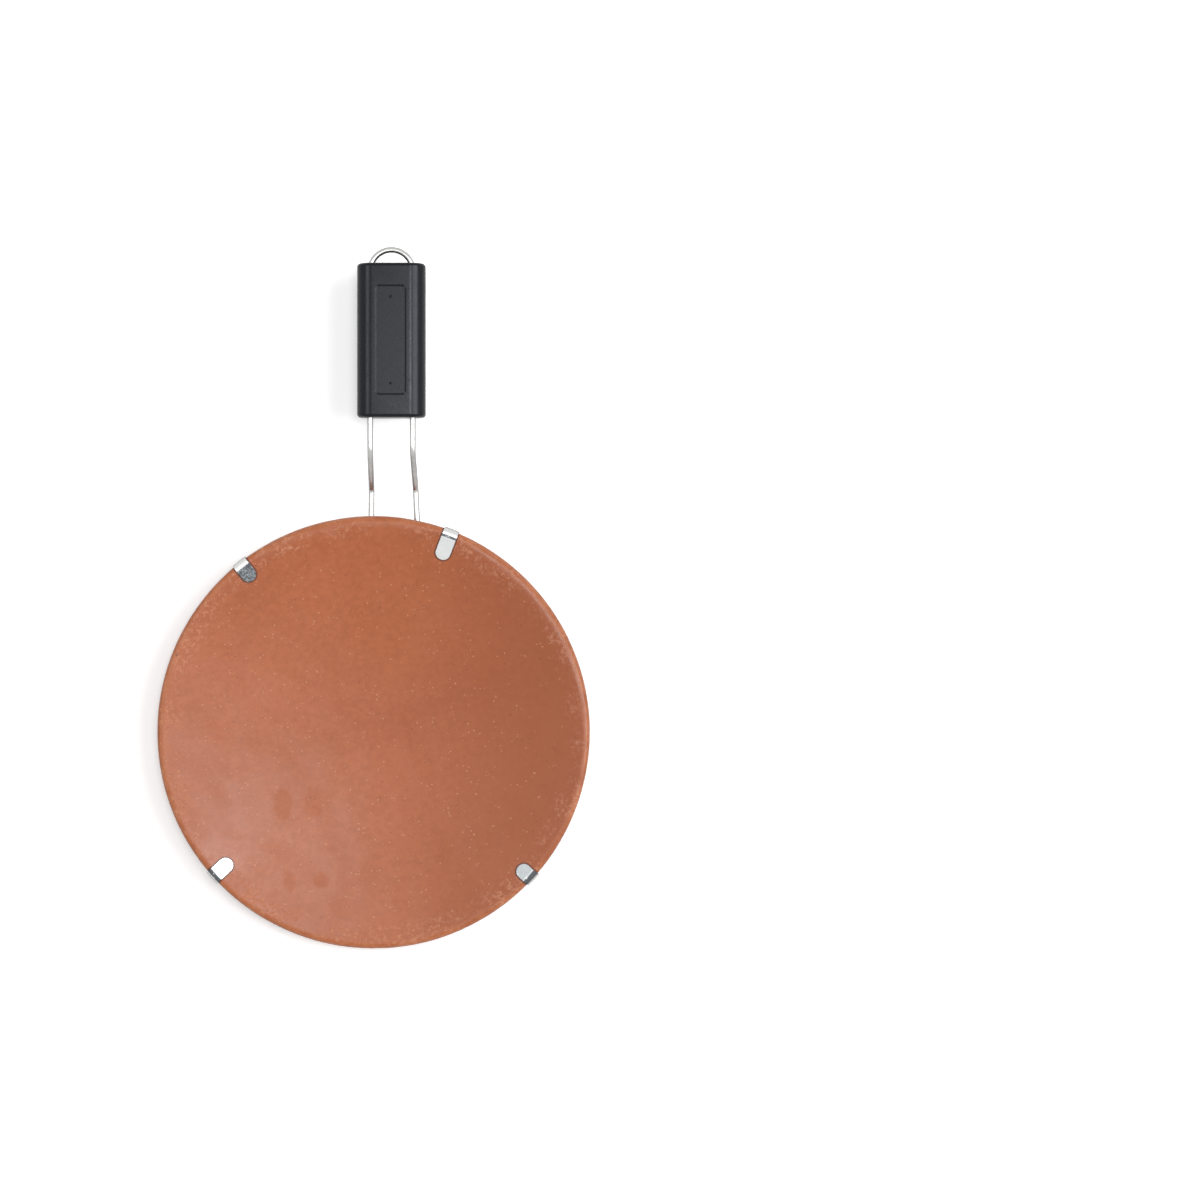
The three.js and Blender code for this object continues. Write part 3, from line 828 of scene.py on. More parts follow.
def clip_section(tongue, under, crossing, beside):
    """Middle line of a clip's sheet in the plane out from the axis and up"""
    s = clip_sizes()
    half = s.width / 2
    away = wire_sizes().fit + s.sheet / 2
    rounded = half - math.sqrt(max(0.0, half ** 2 - beside ** 2))
    tip = math.sqrt(rim_radius() ** 2 - beside ** 2) - tongue + rounded
    rim_line = [Vector((math.sqrt(p.x ** 2 - beside ** 2), p.y)) for p in rim_outline(RIM_STEPS // 2)]
    run = [tip + (rim_line[0].x - tip) * i / TONGUE_STEPS for i in range(TONGUE_STEPS + 1)]
    top = [Vector((out, top_level(math.hypot(out, beside)))) for out in run]
    wire_out = crossing[0] + crossing[1] * beside
    leave = min(wire_out + s.run_to_wire, rim_line[-1].x - s.sheet)
    leave_point = Vector((leave, under_level(math.hypot(leave, beside))))
    line = beside_line(top + rim_line[1:] + [leave_point], away)
    centre = Vector((wire_out, wire_level(math.hypot(wire_out, beside))))
    radius = wire_sizes().diameter / 2 + away
    side = 1 if under else -1
    to_centre = centre - line[-1]
    heading = math.atan2(to_centre.y, to_centre.x) % (2 * math.pi)
    tangent = heading + side * math.asin(radius / to_centre.length)
    first = tangent + side * math.pi / 2 - (2 * math.pi if under else 0.0)
    last = WRAP_END_UNDER if under else WRAP_END_BETWEEN
    for i in range(WRAP_STEPS + 1):
        turn = first + (last - first) * i / WRAP_STEPS
        line.append(centre + radius * Vector((math.cos(turn), math.sin(turn))))
    return line


class TAWA_OT_rim_clips(bpy.types.Operator):
    """Bend the four sheet clips over the rim and round the wire"""
    bl_idname = "tawa.rim_clips"
    bl_label = "Rim clips"

    def execute(self, context):
        for node, degrees, tongue, under in CLIPS:
            clip = self.clip(node + "_sheet", degrees, tongue, under)
            look = BRIGHT_CLIPS.get(node)
            name = node + " sheet"
            finish = bright_clip_finish(name, *look) if look else swirled_clip_finish(name)
            carry(clip, finish, "clip_sheet", node)
        return {"FINISHED"}

    def clip(self, name, degrees, tongue, under):
        """One clip as a sheet of even thickness with soft edges"""
        s = clip_sizes()
        crossing = wire_crossing(degrees)
        turn = Matrix.Rotation(math.radians(degrees), 3, "Z")
        bm = bmesh.new()
        edges = []
        row = []
        for share in CLIP_SLICES:
            beside = share * s.width / 2
            section = clip_section(tongue, under, crossing, beside)
            places = [turn @ Vector((p.x, beside, p.y)) for p in section]
            if not row:
                row = [bm.verts.new(place) for place in places]
                edges = [bm.edges.new(pair) for pair in zip(row, row[1:])]
                continue
            made = bmesh.ops.extrude_edge_only(bm, edges=edges)["geom"]
            edges = [edge for edge in made if isinstance(edge, bmesh.types.BMEdge)]
            new = {vert for vert in made if isinstance(vert, bmesh.types.BMVert)}
            row = [next(edge.other_vert(vert) for edge in vert.link_edges if edge.other_vert(vert) in new)
                   for vert in row]
            for vert, place in zip(row, places):
                vert.co = place
        bmesh.ops.recalc_face_normals(bm, faces=bm.faces)
        clip = placed(bm, name)
        wall = clip.modifiers.new("sheet", "SOLIDIFY")
        wall.thickness = s.sheet
        wall.offset = 0.0
        wall.use_even_offset = True
        settle(clip)
        soften(clip, s.edge)
        shade_by_area(clip)
        return clip


# Handle and screws

def shaped_half(name, low, high, outside):
    """Half of the handle between two corners, with rounded shoulders and ends away from the split"""
    s = handle_sizes()
    split = low.z if abs(high.z - outside) < TINY else high.z
    bm = block(low, high)

    def lies(edge, axis, level):
        """Whether an edge lies at a level of an axis"""
        return all(abs(vert.co[axis] - level) < TINY for vert in edge.verts)

    def across(edge, axis):
        """Whether an edge runs along an axis"""
        return abs(edge.verts[0].co[axis] - edge.verts[1].co[axis]) > TINY

    shoulders = [edge for edge in bm.edges if lies(edge, 2, outside) and not across(edge, 0)]
    round_edges(bm, shoulders, s.shoulder, SHOULDER_SEGMENTS)
    ends = [edge for edge in bm.edges if lies(edge, 1, low.y) or lies(edge, 1, high.y)]
    round_edges(bm, [edge for edge in ends if not lies(edge, 2, split)], s.end_round, END_SEGMENTS)
    bmesh.ops.recalc_face_normals(bm, faces=bm.faces)
    return placed(bm, name)


def cut_grooves(half):
    """Cut the grooves for the wire's legs and the start of the loop"""
    s = wire_sizes()
    left, right, level = leg_plan()
    start = upper_low.y - s.diameter
    points = [Vector((left, start, level)), *loop_points(), Vector((right, start, level))]
    cut_away(half, tube("grooves", points, s.diameter / 2 + s.fit))


class TAWA_OT_handle(bpy.types.Operator):
    """Mould the two halves of the handle"""
    bl_idname = "tawa.handle"
    bl_label = "Handle"

    def execute(self, context):
        finish = handle_finish()
        carry(self.upper(), finish, "handle", "handle_upper")
        carry(self.lower(), finish, "handle", "handle_lower")
        return {"FINISHED"}

    def upper(self):
        """Upper half, with the sunk panel and a pip over each screw"""
        s = handle_sizes()
        half = shaped_half("handle_upper_moulded", upper_low, upper_high, upper_high.z)
        cut_grooves(half)
        cut_away(half, self.panel())
        soften(half, s.edge)
        bm = taken_up(half.data)
        for y in screw_places:
            place = (handle_x, y, upper_high.z - s.panel_depth)
            dome(bm, place, s.pip_width, s.pip_height, around=16, rings=8)
        put_back(bm, half.data)
        shade_by_area(half)
        return half

    def panel(self):
        """Cutter for the sunk panel, with round corners and sloped walls"""
        s = handle_sizes()
        middle = Vector((handle_x, handle_y, upper_high.z))
        reach = Vector((s.panel_width / 2, s.panel_length / 2, s.panel_depth))
        bm = block(middle - reach, middle + reach)
        upright = [e for e in bm.edges if abs(e.verts[0].co.z - e.verts[1].co.z) > TINY]
        round_edges(bm, upright, s.panel_corner, PANEL_SEGMENTS)
        slope = Vector((s.panel_slope / reach.x, s.panel_slope / reach.y, 0.0))
        same = Vector((1.0, 1.0, 1.0))
        bottom = [vert for vert in bm.verts if vert.co.z < upper_high.z]
        top = [vert for vert in bm.verts if vert.co.z > upper_high.z]
        for verts, size in ((bottom, same - slope), (top, same + slope)):
            bmesh.ops.scale(bm, vec=size, verts=verts, space=Matrix.Translation(-middle))
        return placed(bm, "panel")

    def lower(self):
        """Lower half, with a counterbore and a hole for each screw"""
        s = handle_sizes()
        half = shaped_half("handle_lower_moulded", lower_low, lower_high, lower_low.z)
        cut_grooves(half)
        below = lower_low.z - s.counterbore_depth
        seat = lower_low.z + s.counterbore_depth
        hole = s.screw_shank + 2 * wire_sizes().fit
        for y in screw_places:
            cut_away(half, post("counterbore", s.counterbore, y, below, seat))
            cut_away(half, post("hole", hole, y, below, lower_high.z + s.screw_tip))
        soften(half, s.edge)
        shade_by_area(half)
        return half


class TAWA_OT_screws(bpy.types.Operator):
    """Turn the two cross-head screws"""
    bl_idname = "tawa.screws"
    bl_label = "Screws"

    def execute(self, context):
        finish = screw_finish()
        for node, y in zip(("screw_near_plate", "screw_near_loop"), screw_places):
            carry(self.screw(node + "_turned", y), finish, "screw", node)
        return {"FINISHED"}

    def profile(self):
        """Half section of a screw, from the middle of its head to its point"""
        s = handle_sizes()
        low, top = screw_low.z, screw_high.z
        head = (screw_high.x - screw_low.x) / 2
        shank = s.screw_shank / 2
        seat = low + s.screw_head
        face = head - s.screw_crown
        points = [(0.0, low), (face, low + s.screw_swell)]
        for step in range(1, CROWN_STEPS + 1):
            turn = math.pi / 2 * step / CROWN_STEPS
            out = face + s.screw_crown * math.sin(turn)
            points.append((out, low + s.screw_crown * (1 - math.cos(turn))))
        points += [(head, seat), (shank, seat), (shank, top - s.screw_tip), (0.0, top)]
        return [Vector(point) for point in points]

    def screw(self, name, y):
        """One screw standing on its head"""
        s = handle_sizes()
        bm = turned(self.profile(), ROUND_SIDES)
        bmesh.ops.translate(bm, vec=(handle_x, y, 0.0), verts=bm.verts)
        screw = placed(bm, name)
        middle = Vector((handle_x, y, screw_low.z))
        for x_reach, y_reach in ((s.cross_length, s.cross_width), (s.cross_width, s.cross_length)):
            reach = Vector((x_reach / 2, y_reach / 2, s.cross_depth))
            bm = block(middle - reach, middle + reach)
            inner = [vert for vert in bm.verts if vert.co.z > screw_low.z]
            bmesh.ops.scale(bm, vec=(s.cross_taper, s.cross_taper, 1.0), verts=inner,
                            space=Matrix.Translation(-middle))
            cut_away(screw, placed(bm, "cross"))
        shade_by_angle(screw.data, crisp=35)
        return screw


# Ways to build node trees

class Nodes:
    """Short ways to add nodes to a tree and to join them"""

    def __init__(self, tree):
        self.tree = tree

    def feed(self, target, value):
        """Link an input to an output, or set it to a number, a vector or a colour"""
        if isinstance(value, bpy.types.NodeSocket):
            self.tree.links.new(value, target)
        elif target.type == "RGBA":
            target.default_value = (*value, 1.0)
        else:
            target.default_value = value

    def add(self, kind, inputs, **settings):
        """Outputs of a new node, whose inputs are fed by name or number"""
        node = self.tree.nodes.new("ShaderNode" + kind)
        for name, value in settings.items():
            setattr(node, name, value)
        for key, value in inputs.items():
            self.feed(node.inputs[key], value)
        return node.outputs

    def sum(self, operation, first, second):
        """One of the Math node's sums"""
        return self.add("Math", {0: first, 1: second}, operation=operation)[0]

    def all_of(self, first, *others):
        """Masks and shares multiplied together"""
        for other in others:
            first = self.sum("MULTIPLY", first, other)
        return first

    def most_of(self, first, *others):
        """The strongest of some masks"""
        for other in others:
            first = self.sum("MAXIMUM", first, other)
        return first

    def mix(self, share, first, second):
        """A shader between two others"""
        return self.add("MixShader", {0: share, 1: first, 2: second})[0]


class Finish(Nodes):
    """A material whose patterns lie on the object's own coordinates"""

    def __init__(self, name):
        self.material = bpy.data.materials.new(name)
        self.material.use_nodes = True
        super().__init__(self.material.node_tree)
        self.shader = self.tree.nodes["Principled BSDF"]
        self.place = self.add("TexCoord", {})["Object"]

    def noise(self, scale, detail=4.0, rough=0.55, swirl=0.0):
        """Soft noise from 0 to 1"""
        look = {"Scale": scale, "Detail": detail, "Roughness": rough, "Distortion": swirl}
        return self.add("TexNoise", {"Vector": self.place, **look})["Fac"]

    def span(self, value, low, high, to_low=0.0, to_high=1.0):
        """Map a value smoothly from one span to another, and hold it there"""
        spans = {"From Min": low, "From Max": high, "To Min": to_low, "To Max": to_high}
        return self.add("MapRange", {"Value": value, **spans}, interpolation_type="SMOOTHSTEP")["Result"]

    def fall(self, value, low, high):
        """1 below low and 0 above high"""
        return self.span(value, low, high, 1.0, 0.0)

    def band(self, value, start, full, last, end):
        """1 between full and last, and 0 before start and after end"""
        return self.all_of(self.span(value, start, full), self.fall(value, last, end))

    def spots(self, spacing, size, clumps, bare):
        """Mask of scattered spots: their scale, size, and the scale and share of the bare clay"""
        near = self.add("TexVoronoi", {"Vector": self.place, "Scale": spacing})["Distance"]
        return self.all_of(self.fall(near, *size), self.span(self.noise(clumps, detail=2.0), *bare))

    def blend(self, share, first, second):
        """A colour between two others"""
        return self.add("Mix", {0: share, 6: first, 7: second}, data_type="RGBA")[2]

    def parts(self, vector):
        """The coordinates of a vector, by their letters"""
        return self.add("SeparateXYZ", {0: vector})

    def size(self, vector):
        """Length of a vector"""
        return self.add("VectorMath", {0: vector}, operation="LENGTH")["Value"]

    def height(self):
        """Height over the plate's zero level"""
        return self.parts(self.place)["Z"]

    def from_axis(self):
        """Distance from the plate's axis"""
        flat = self.add("VectorMath", {0: self.place, 1: (1.0, 1.0, 0.0)}, operation="MULTIPLY")
        return self.size(flat["Vector"])

    def inset(self):
        """Distance in from the plate's rim"""
        return self.sum("SUBTRACT", rim_radius(), self.from_axis())

    def seen_from(self, middle, turn, reach=(1.0, 1.0, 1.0)):
        """The place as seen from a middle, turned in the plan by degrees, in shares of a reach"""
        rotation = (0.0, 0.0, math.radians(turn))
        view = {"Location": middle, "Rotation": rotation, "Scale": reach}
        return self.add("Mapping", {"Vector": self.place, **view}, vector_type="TEXTURE")["Vector"]

    def bump(self, height, strength, distance, **below):
        """Small relief on the surface, or on another relief given as Normal"""
        relief = {"Height": height, "Strength": strength, "Distance": distance}
        return self.add("Bump", {**relief, **below})["Normal"]

    def set(self, **inputs):
        """Set the shader's sockets by their names"""
        for name, value in inputs.items():
            self.feed(self.shader.inputs[name.replace("_", " ")], value)
        return self.material


# Finishes

# Dull smudges in the dish: place across and along, turn in degrees, half width, half length
SMUDGES = (
    (-0.0525, -0.0418, -4.0, 0.0062, 0.0122),
    (-0.0351, -0.0408, 6.0, 0.0065, 0.0098),
    (-0.0487, -0.0858, 14.0, 0.0044, 0.0076),
    (-0.03, -0.0856, -15.0, 0.0062, 0.0052),
)

# Half height of a smudge, and where its ragged edge starts to fade and ends, in shares of its size
SMUDGE_DEPTH = 0.006
SMUDGE_FADE = (1.4, 2.6)

# Two larger pits near the rim: place across and along, radius, and their depth
LARGE_PITS = ((-0.1134, 0.0446, 0.001), (0.1065, 0.0573, 0.0008))
LARGE_PIT_DEPTH = 0.004

# Spots in the clay: scale, size and soft edge, scale of the bare clay between clumps, and its share
SAND_GRAINS = (430.0, (0.13, 0.24), 150.0, (0.52, 0.62))
STONES = (150.0, (0.05, 0.09), 60.0, (0.5, 0.6))
PITS = (310.0, (0.1, 0.19), 95.0, (0.54, 0.64))

# Painted shade towards the plate's right side: where it starts across the plate, where it is full, and
# how full
PAINTED_SHADE_SIDE = (-0.03, 0.125, 0.0, 0.7)

# Bands in from the rim: full up to a distance and gone at the next
RUBBED_BAND = (0.006, 0.017)
# The worn edge, partly painted light
EDGE_WEAR_AND_LIGHT = (0.001, 0.005)
SEAM_BAND = (0.0035, 0.0042, 0.0047, 0.0054)

# Width of the painted shade line beside a clip, standing in for the sheet's contact shadow
SHADE_LINE_WIDTH = 0.0013

# Heights between which a mask of the cooking face starts, and one of the underside ends
COOKING_SIDE = (0.013, 0.014)
UNDER_SIDE = (0.0105, 0.0115)

# Bright clips: where the painted dark reflection along the fold starts and ends, in from the rim, and the
# share of grey crystals
BRIGHT_CLIPS = {
    "clip_near_handle_right": (0.0046, 0.0034, 0.45),
    "clip_far_left": (0.0028, 0.0006, 0.05),
    "clip_far_right": (0.0031, 0.0002, 1.8),
}

# Softness of the painted fold reflection, and the heights between which it starts
FOLD_REFLECTION_EDGE = 0.0003
FOLD_REFLECTION_HEIGHT = (0.014, 0.015)

# A clip's bright bends: the fold in from the rim and in height, and the height of the curl
BRIGHT_FOLD = (0.003, 0.0038)
SWIRLED_FOLD = (0.0031, 0.0038)
FOLD_HEIGHT = (0.0115, 0.0125)
CURL_HEIGHT = (0.0045, 0.0062)

# The scuff on the handle's underside: middle, turn in degrees, half sizes
SCUFF = ((-0.0018, 0.2165, 0.0114), 62.0, (0.0004, 0.0036, 0.004))

# Depths of the reliefs
FINE_RELIEF = 0.0001
MOULDING_RELIEF = 0.00012
SPOT_RELIEF = 0.00015
CLAY_RELIEF = 0.0002
PIT_RELIEF = 0.0003


def clay_smudges(f):
    """Mask of the dull smudges on the cooking face"""
    wobble = f.all_of(f.noise(210.0, detail=6.0, rough=0.65), 1.6)
    masks = []
    for x, y, turn, half_width, half_length in SMUDGES:
        middle = (x, y, top_level(math.hypot(x, y)))
        away = f.size(f.seen_from(middle, turn, (half_width, half_length, SMUDGE_DEPTH)))
        masks.append(f.fall(f.sum("ADD", away, wobble), *SMUDGE_FADE))
    return f.most_of(*masks)


def clay_pits(f):
    """Mask of the small pits and the two larger ones"""
    masks = [f.all_of(f.spots(*PITS), 0.55)]
    for x, y, radius in LARGE_PITS:
        middle = (x, y, top_level(math.hypot(x, y)))
        away = f.size(f.seen_from(middle, 0.0, (radius, radius, LARGE_PIT_DEPTH)))
        masks.append(f.span(away, 0.6, 1.0, 0.9, 0.0))
    return f.most_of(*masks)


def clay_rubbing(f):
    """Masks of the rubbed clay near the rim and of the worn edge, which is also painted lighter to lift
    the shade on the rim's outer round
    """
    patchy = f.span(f.noise(34.0, rough=0.6), 0.4, 0.62, 0.15, 1.0)
    crumbs = f.span(f.noise(430.0, detail=7.0, rough=0.75), 0.5, 0.6)
    uneven = f.span(f.noise(90.0, detail=5.0), 0.35, 0.65, 0.3, 1.0)
    rubbed = f.all_of(f.fall(f.inset(), *RUBBED_BAND), patchy, crumbs)
    return rubbed, f.all_of(f.fall(f.inset(), *EDGE_WEAR_AND_LIGHT), uneven)


def clip_painted_shade(f):
    """Mask of the painted shade line in the clay beside the clips' tongues, standing in for their contact
    shadow
    """
    half = clip_sizes().width / 2
    masks = []
    for _, degrees, tongue, _ in CLIPS:
        middle = polar(degrees, rim_radius() - tongue + half)
        spot = f.parts(f.seen_from(middle, degrees))
        inward = f.sum("MINIMUM", spot["X"], 0.0)
        away = f.size(f.add("CombineXYZ", {"X": inward, "Y": spot["Y"]})[0])
        masks.append(f.fall(away, half + SHADE_LINE_WIDTH / 3, half + SHADE_LINE_WIDTH))
    return f.all_of(f.most_of(*masks), f.span(f.height(), *COOKING_SIDE))


def clay_seam(f):
    """Mask of the pale seam line on the underside"""
    broken = f.span(f.noise(75.0, detail=5.0), 0.38, 0.6)
    return f.all_of(f.band(f.inset(), *SEAM_BAND), f.fall(f.height(), *UNDER_SIDE), broken)


def clay_finish():
    """Fired clay: uneven terracotta with sand grains, pits, smudges and a rubbed rim"""
    c = colours()
    f = Finish("fired clay")
    patches = f.all_of(f.noise(15.0), 0.42)
    mottle = f.all_of(f.noise(270.0, detail=6.0, rough=0.7), 0.58)
    body = f.blend(f.span(f.sum("ADD", patches, mottle), 0.36, 0.64), c.clay_deep, c.clay_pale)
    light = f.most_of(f.all_of(f.spots(*SAND_GRAINS), 0.4), f.all_of(f.spots(*STONES), 0.36))
    pits = clay_pits(f)
    rubbed, edge = clay_rubbing(f)
    smudges = clay_smudges(f)
    for share, tone in (
        # Painted shade, darker towards the plate's right side
        (f.span(f.parts(f.place)["X"], *PAINTED_SHADE_SIDE), c.clay_painted_shade),
        (light, c.clay_grain),
        (pits, c.clay_pit_and_shade),
        # Worn edge, partly painted light that lifts the shade on the rim's round
        (f.all_of(edge, 0.7), c.clay_edge_wear_and_light),
        (f.all_of(rubbed, 0.45), c.clay_dust),
        (f.all_of(clay_seam(f), 0.6), c.clay_dust),
        # Painted shade: a dark line beside each clip where its contact shadow falls
        (f.all_of(clip_painted_shade(f), 0.95), c.clay_pit_and_shade),
        (f.all_of(smudges, 0.15), c.clay_deep),
    ):
        body = f.blend(share, body, tone)
    sheen = f.span(f.noise(42.0, detail=6.0, rough=0.6), 0.35, 0.65, 0.28, 0.34)
    gloss = f.most_of(sheen, f.all_of(smudges, 0.37), f.all_of(rubbed, 0.65))
    relief = f.bump(f.noise(1300.0, detail=3.0), 0.16, CLAY_RELIEF)
    for mask, strength, depth in (
        (light, 0.3, SPOT_RELIEF), (pits, -0.5, PIT_RELIEF), (rubbed, 0.3, CLAY_RELIEF),
    ):
        relief = f.bump(mask, strength, depth, Normal=relief)
    return f.set(Base_Color=body, Roughness=gloss, Specular_IOR_Level=0.35, Normal=relief)


def metal(f, tone, gloss, **inputs):
    """Make a finish bare metal of a tone and a roughness"""
    edge = colours().metal_edge
    return f.set(Base_Color=tone, Metallic=1.0, Roughness=gloss, Specular_Tint=edge, **inputs)


def wire_finish():
    """Bright drawn wire with dulled patches"""
    c = colours()
    f = Finish("drawn wire")
    patches = f.noise(55.0, detail=5.0, rough=0.6)
    fleck = f.noise(330.0, detail=3.0)
    dull = f.all_of(f.span(patches, 0.45, 0.7), f.span(fleck, 0.3, 0.7))
    tone = f.blend(dull, c.wire, c.wire_dull)
    gloss = f.span(patches, 0.3, 0.7, 0.2, 0.34)
    return metal(f, tone, gloss, Normal=f.bump(fleck, 0.06, FINE_RELIEF))


def bright_clip_finish(name, inner, outer, greyness):
    """Bright plated sheet: a painted dark reflection along its fold between two distances in from the
    rim, and its share of grey
    """
    c = colours()
    f = Finish(name)
    clouds = f.noise(500.0, detail=5.0, rough=0.6, swirl=0.8)
    grey = f.all_of(f.span(clouds, 0.36, 0.62, greyness / 3, greyness), f.span(f.inset(), *BRIGHT_FOLD))
    tone = f.blend(grey, c.zinc, c.zinc_grey)
    # Painted reflection: a dark band along the fold, standing in for the dark surroundings that the bent
    # metal would mirror
    fold_reflection = f.band(f.inset(), outer - FOLD_REFLECTION_EDGE, outer, inner, inner + FOLD_REFLECTION_EDGE)
    broken = f.span(f.noise(520.0), 0.3, 0.45)
    fold_reflection = f.all_of(fold_reflection, f.span(f.height(), *FOLD_REFLECTION_HEIGHT), broken, 0.95)
    tone = f.blend(fold_reflection, tone, c.zinc_dark_and_reflection)
    gloss = f.span(clouds, 0.3, 0.7, 0.22, 0.36)
    return metal(f, tone, gloss, Normal=f.bump(f.noise(700.0), 0.1, FINE_RELIEF))


def swirled_clip_finish(name):
    """Blue-grey sheet with swirled crystals, bright at its bends"""
    c = colours()
    f = Finish(name)
    fold = f.all_of(f.fall(f.inset(), *SWIRLED_FOLD), f.span(f.height(), *FOLD_HEIGHT))
    curl = f.fall(f.height(), *CURL_HEIGHT)
    swirls = f.noise(620.0, detail=5.0, rough=0.65, swirl=2.2)
    tone = f.blend(f.span(swirls, 0.44, 0.74), c.zinc_dark_and_reflection, c.zinc_grey)
    tone = f.blend(f.most_of(fold, curl), tone, c.zinc)
    gloss = f.span(swirls, 0.3, 0.7, 0.26, 0.42)
    return metal(f, tone, gloss, Normal=f.bump(swirls, 0.12, FINE_RELIEF))


def screw_finish():
    """Bright zinc on the screws"""
    c = colours()
    f = Finish("bright zinc")
    patches = f.noise(800.0)
    tone = f.blend(f.span(patches, 0.4, 0.7), c.zinc, c.wire_dull)
    return metal(f, tone, f.span(patches, 0.3, 0.7, 0.22, 0.38))


def handle_finish():
    """Satin black moulding with rubbed patches and a scuff"""
    c = colours()
    f = Finish("black moulding")
    patches = f.noise(70.0, detail=6.0, rough=0.65)
    tone = f.blend(f.span(patches, 0.5, 0.78), c.black, c.black_rubbed)
    ragged = f.sum("ADD", f.size(f.seen_from(*SCUFF)), f.all_of(f.noise(900.0), 0.8))
    scuff = f.fall(ragged, 0.9, 1.3)
    tone = f.blend(f.all_of(scuff, 0.8), tone, c.scuff)
    satin = f.span(f.noise(240.0, detail=5.0, rough=0.6), 0.3, 0.7, 0.24, 0.3)
    fine = f.bump(f.noise(1800.0, detail=3.0), 0.16, MOULDING_RELIEF)
    return f.set(Base_Color=tone, Roughness=f.most_of(satin, scuff), Specular_IOR_Level=0.235,
                 Specular_Tint=c.black_gloss, Normal=f.bump(scuff, -0.4, CLAY_RELIEF, Normal=fine))


# Stage

WHITE = (1.0, 1.0, 1.0)
WORLD_FILL = 0.24

# The floor: its size, its own light, and the distances between which it turns white
FLOOR_SIZE = 12.0
FLOOR_LIFT = 0.38
FLOOR_FADE = (0.45, 1.1)

# The camera: its place over the tawa, its lens and sensor in millimetres, and how near and far it sees
CAMERA_X = 0.1308
CAMERA_Y = 0.0764
CAMERA_DISTANCE = 2.1
CAMERA_LENS = 109.2
SENSOR_WIDTH = 36.0
CAMERA_NEAR = 0.05
CAMERA_FAR = 50.0

# Wide suns: name, degrees from the right and from overhead, degrees of sky that they fill, strength
SUNS = (
    ("key", 8.0, 42.0, 38.0, 1.9),
    ("fill", 172.0, 36.0, 23.0, 0.5),
)

# The soft box hangs beside the camera
BOX_PLACE = (0.27, 0.27, 2.25)
BOX_SIZE = 0.45
BOX_POWER = 12.3


def seen_share(nodes):
    """1 for the camera's, glossy and transmitted rays, 0 for the rest"""
    rays = nodes.add("LightPath", {})
    return nodes.most_of(rays["Is Camera Ray"], rays["Is Glossy Ray"], rays["Is Transmission Ray"])


def floor_finish():
    """Pale floor that keeps the shadow, turns white farther off and is clear from below"""
    f = Finish("pale floor")
    f.tree.nodes.remove(f.shader)
    paint = f.add("BsdfDiffuse", {"Color": colours().floor})[0]
    lift = f.all_of(f.add("LightPath", {})["Is Camera Ray"], FLOOR_LIFT)
    near = f.add("AddShader", {0: paint, 1: f.add("Emission", {"Strength": lift})[0]})[0]
    white = f.add("Emission", {"Strength": 1.0})[0]
    far = f.all_of(seen_share(f), f.span(f.from_axis(), *FLOOR_FADE))
    above = f.mix(far, near, white)
    below = f.add("NewGeometry", {})["Backfacing"]
    floor = f.mix(below, above, f.add("BsdfTransparent", {})[0])
    f.feed(f.tree.nodes["Material Output"].inputs["Surface"], floor)
    return f.material


def white_world():
    """A white background that lights the object softly"""
    world = bpy.data.worlds.new("soft white")
    world.use_nodes = True
    world.node_tree.nodes.clear()
    nodes = Nodes(world.node_tree)
    fill = nodes.add("Background", {"Color": WHITE, "Strength": WORLD_FILL})[0]
    white = nodes.add("Background", {"Color": WHITE, "Strength": 1.0})[0]
    nodes.add("OutputWorld", {"Surface": nodes.mix(seen_share(nodes), fill, white)})
    return world


def hang(data, place):
    """Put a lamp at a place, shining at the origin"""
    lamp = holder_of(data, data.name)
    lamp.location = place
    lamp.rotation_euler = place.to_track_quat("Z", "Y").to_euler()


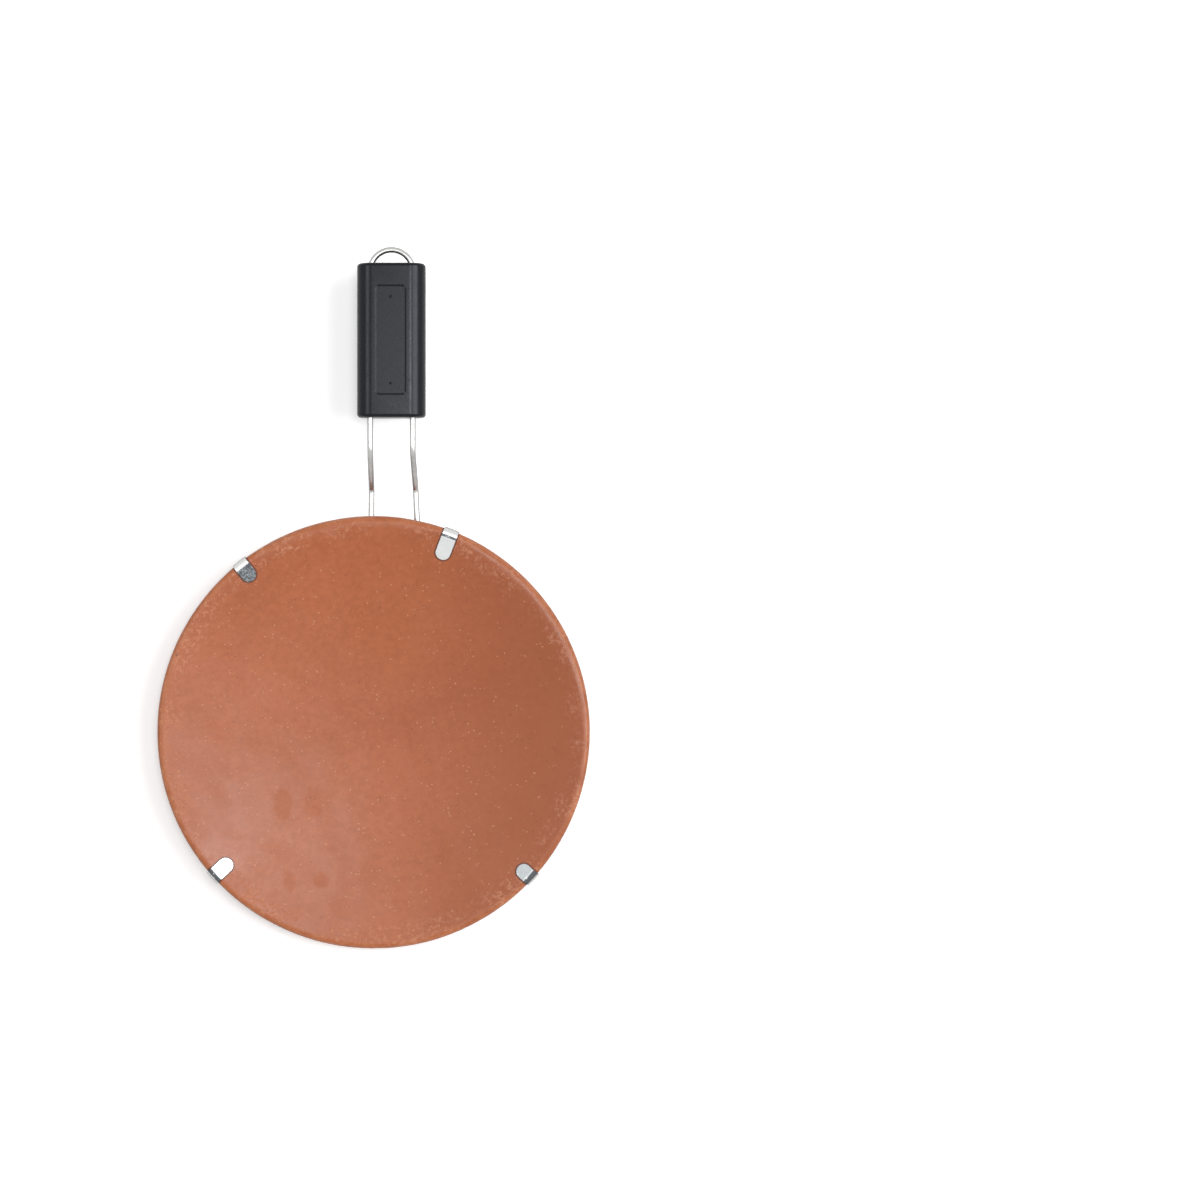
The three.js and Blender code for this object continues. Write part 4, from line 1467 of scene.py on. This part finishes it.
class TAWA_OT_stage(bpy.types.Operator):
    """Set the floor, the lights, the background and the camera"""
    bl_idname = "tawa.stage"
    bl_label = "Stage"

    def execute(self, context):
        scene = context.scene
        bm = bmesh.new()
        bmesh.ops.create_grid(bm, x_segments=1, y_segments=1, size=FLOOR_SIZE / 2)
        bmesh.ops.translate(bm, vec=(0.0, 0.0, wire_low.z), verts=bm.verts)
        floor = placed(bm, "floor")
        floor.data.materials.append(floor_finish())
        self.lights()
        scene.world = white_world()
        scene.view_settings.view_transform = "Standard"
        lens = bpy.data.cameras.new("camera")
        lens.sensor_width = SENSOR_WIDTH
        lens.lens = CAMERA_LENS
        lens.clip_start = CAMERA_NEAR
        lens.clip_end = CAMERA_FAR
        scene.camera = holder_of(lens, "camera")
        scene.camera.location = (CAMERA_X, CAMERA_Y, plate_high.z + CAMERA_DISTANCE)
        return {"FINISHED"}

    def lights(self):
        """Hang the soft box and the wide suns"""
        box = bpy.data.lights.new("soft box", "AREA")
        box.energy = BOX_POWER
        box.size = BOX_SIZE
        hang(box, Vector(BOX_PLACE))
        for name, turn, lean, width, strength in SUNS:
            sun = bpy.data.lights.new(name, "SUN")
            sun.energy = strength
            sun.angle = math.radians(width)
            tilt = math.radians(lean)
            side = Vector((math.sin(tilt), 0.0, math.cos(tilt)))
            hang(sun, Matrix.Rotation(math.radians(turn), 3, "Z") @ side)


class TAWA_PT_sidebar(bpy.types.Panel):
    """Buttons that build the tawa, and the sizes and colours that they read"""
    bl_idname = "TAWA_PT_sidebar"
    bl_label = "Clay tawa"
    bl_space_type = "VIEW_3D"
    bl_region_type = "UI"
    bl_category = "Tawa"

    def draw(self, context):
        layout = self.layout
        for operator in OPERATORS:
            layout.operator(operator.bl_idname)
        for name, group in GROUPS:
            column = layout.column(align=True)
            for value in group.__annotations__:
                column.prop(getattr(context.scene, name), value)


GROUPS = (
    ("tawa_plate", TawaPlateSizes),
    ("tawa_wire", TawaWireSizes),
    ("tawa_clip", TawaClipSizes),
    ("tawa_handle", TawaHandleSizes),
    ("tawa_colours", TawaColours),
)
OPERATORS = (
    TAWA_OT_clay_plate,
    TAWA_OT_wire_frame,
    TAWA_OT_rim_clips,
    TAWA_OT_handle,
    TAWA_OT_screws,
    TAWA_OT_stage,
)


def register():
    """Register the groups, operators and panel"""
    for name, group in GROUPS:
        bpy.utils.register_class(group)
        setattr(bpy.types.Scene, name, bpy.props.PointerProperty(type=group))
    for operator in OPERATORS:
        bpy.utils.register_class(operator)
    bpy.utils.register_class(TAWA_PT_sidebar)


def unregister():
    """Undo register"""
    bpy.utils.unregister_class(TAWA_PT_sidebar)
    for operator in reversed(OPERATORS):
        bpy.utils.unregister_class(operator)
    for name, group in reversed(GROUPS):
        delattr(bpy.types.Scene, name)
        bpy.utils.unregister_class(group)


def main():
    """Register the groups, and build every piece and the stage"""
    register()
    bpy.ops.tawa.clay_plate()
    bpy.ops.tawa.wire_frame()
    bpy.ops.tawa.rim_clips()
    bpy.ops.tawa.handle()
    bpy.ops.tawa.screws()
    bpy.ops.tawa.stage()


if __name__ == "__main__":
    main()
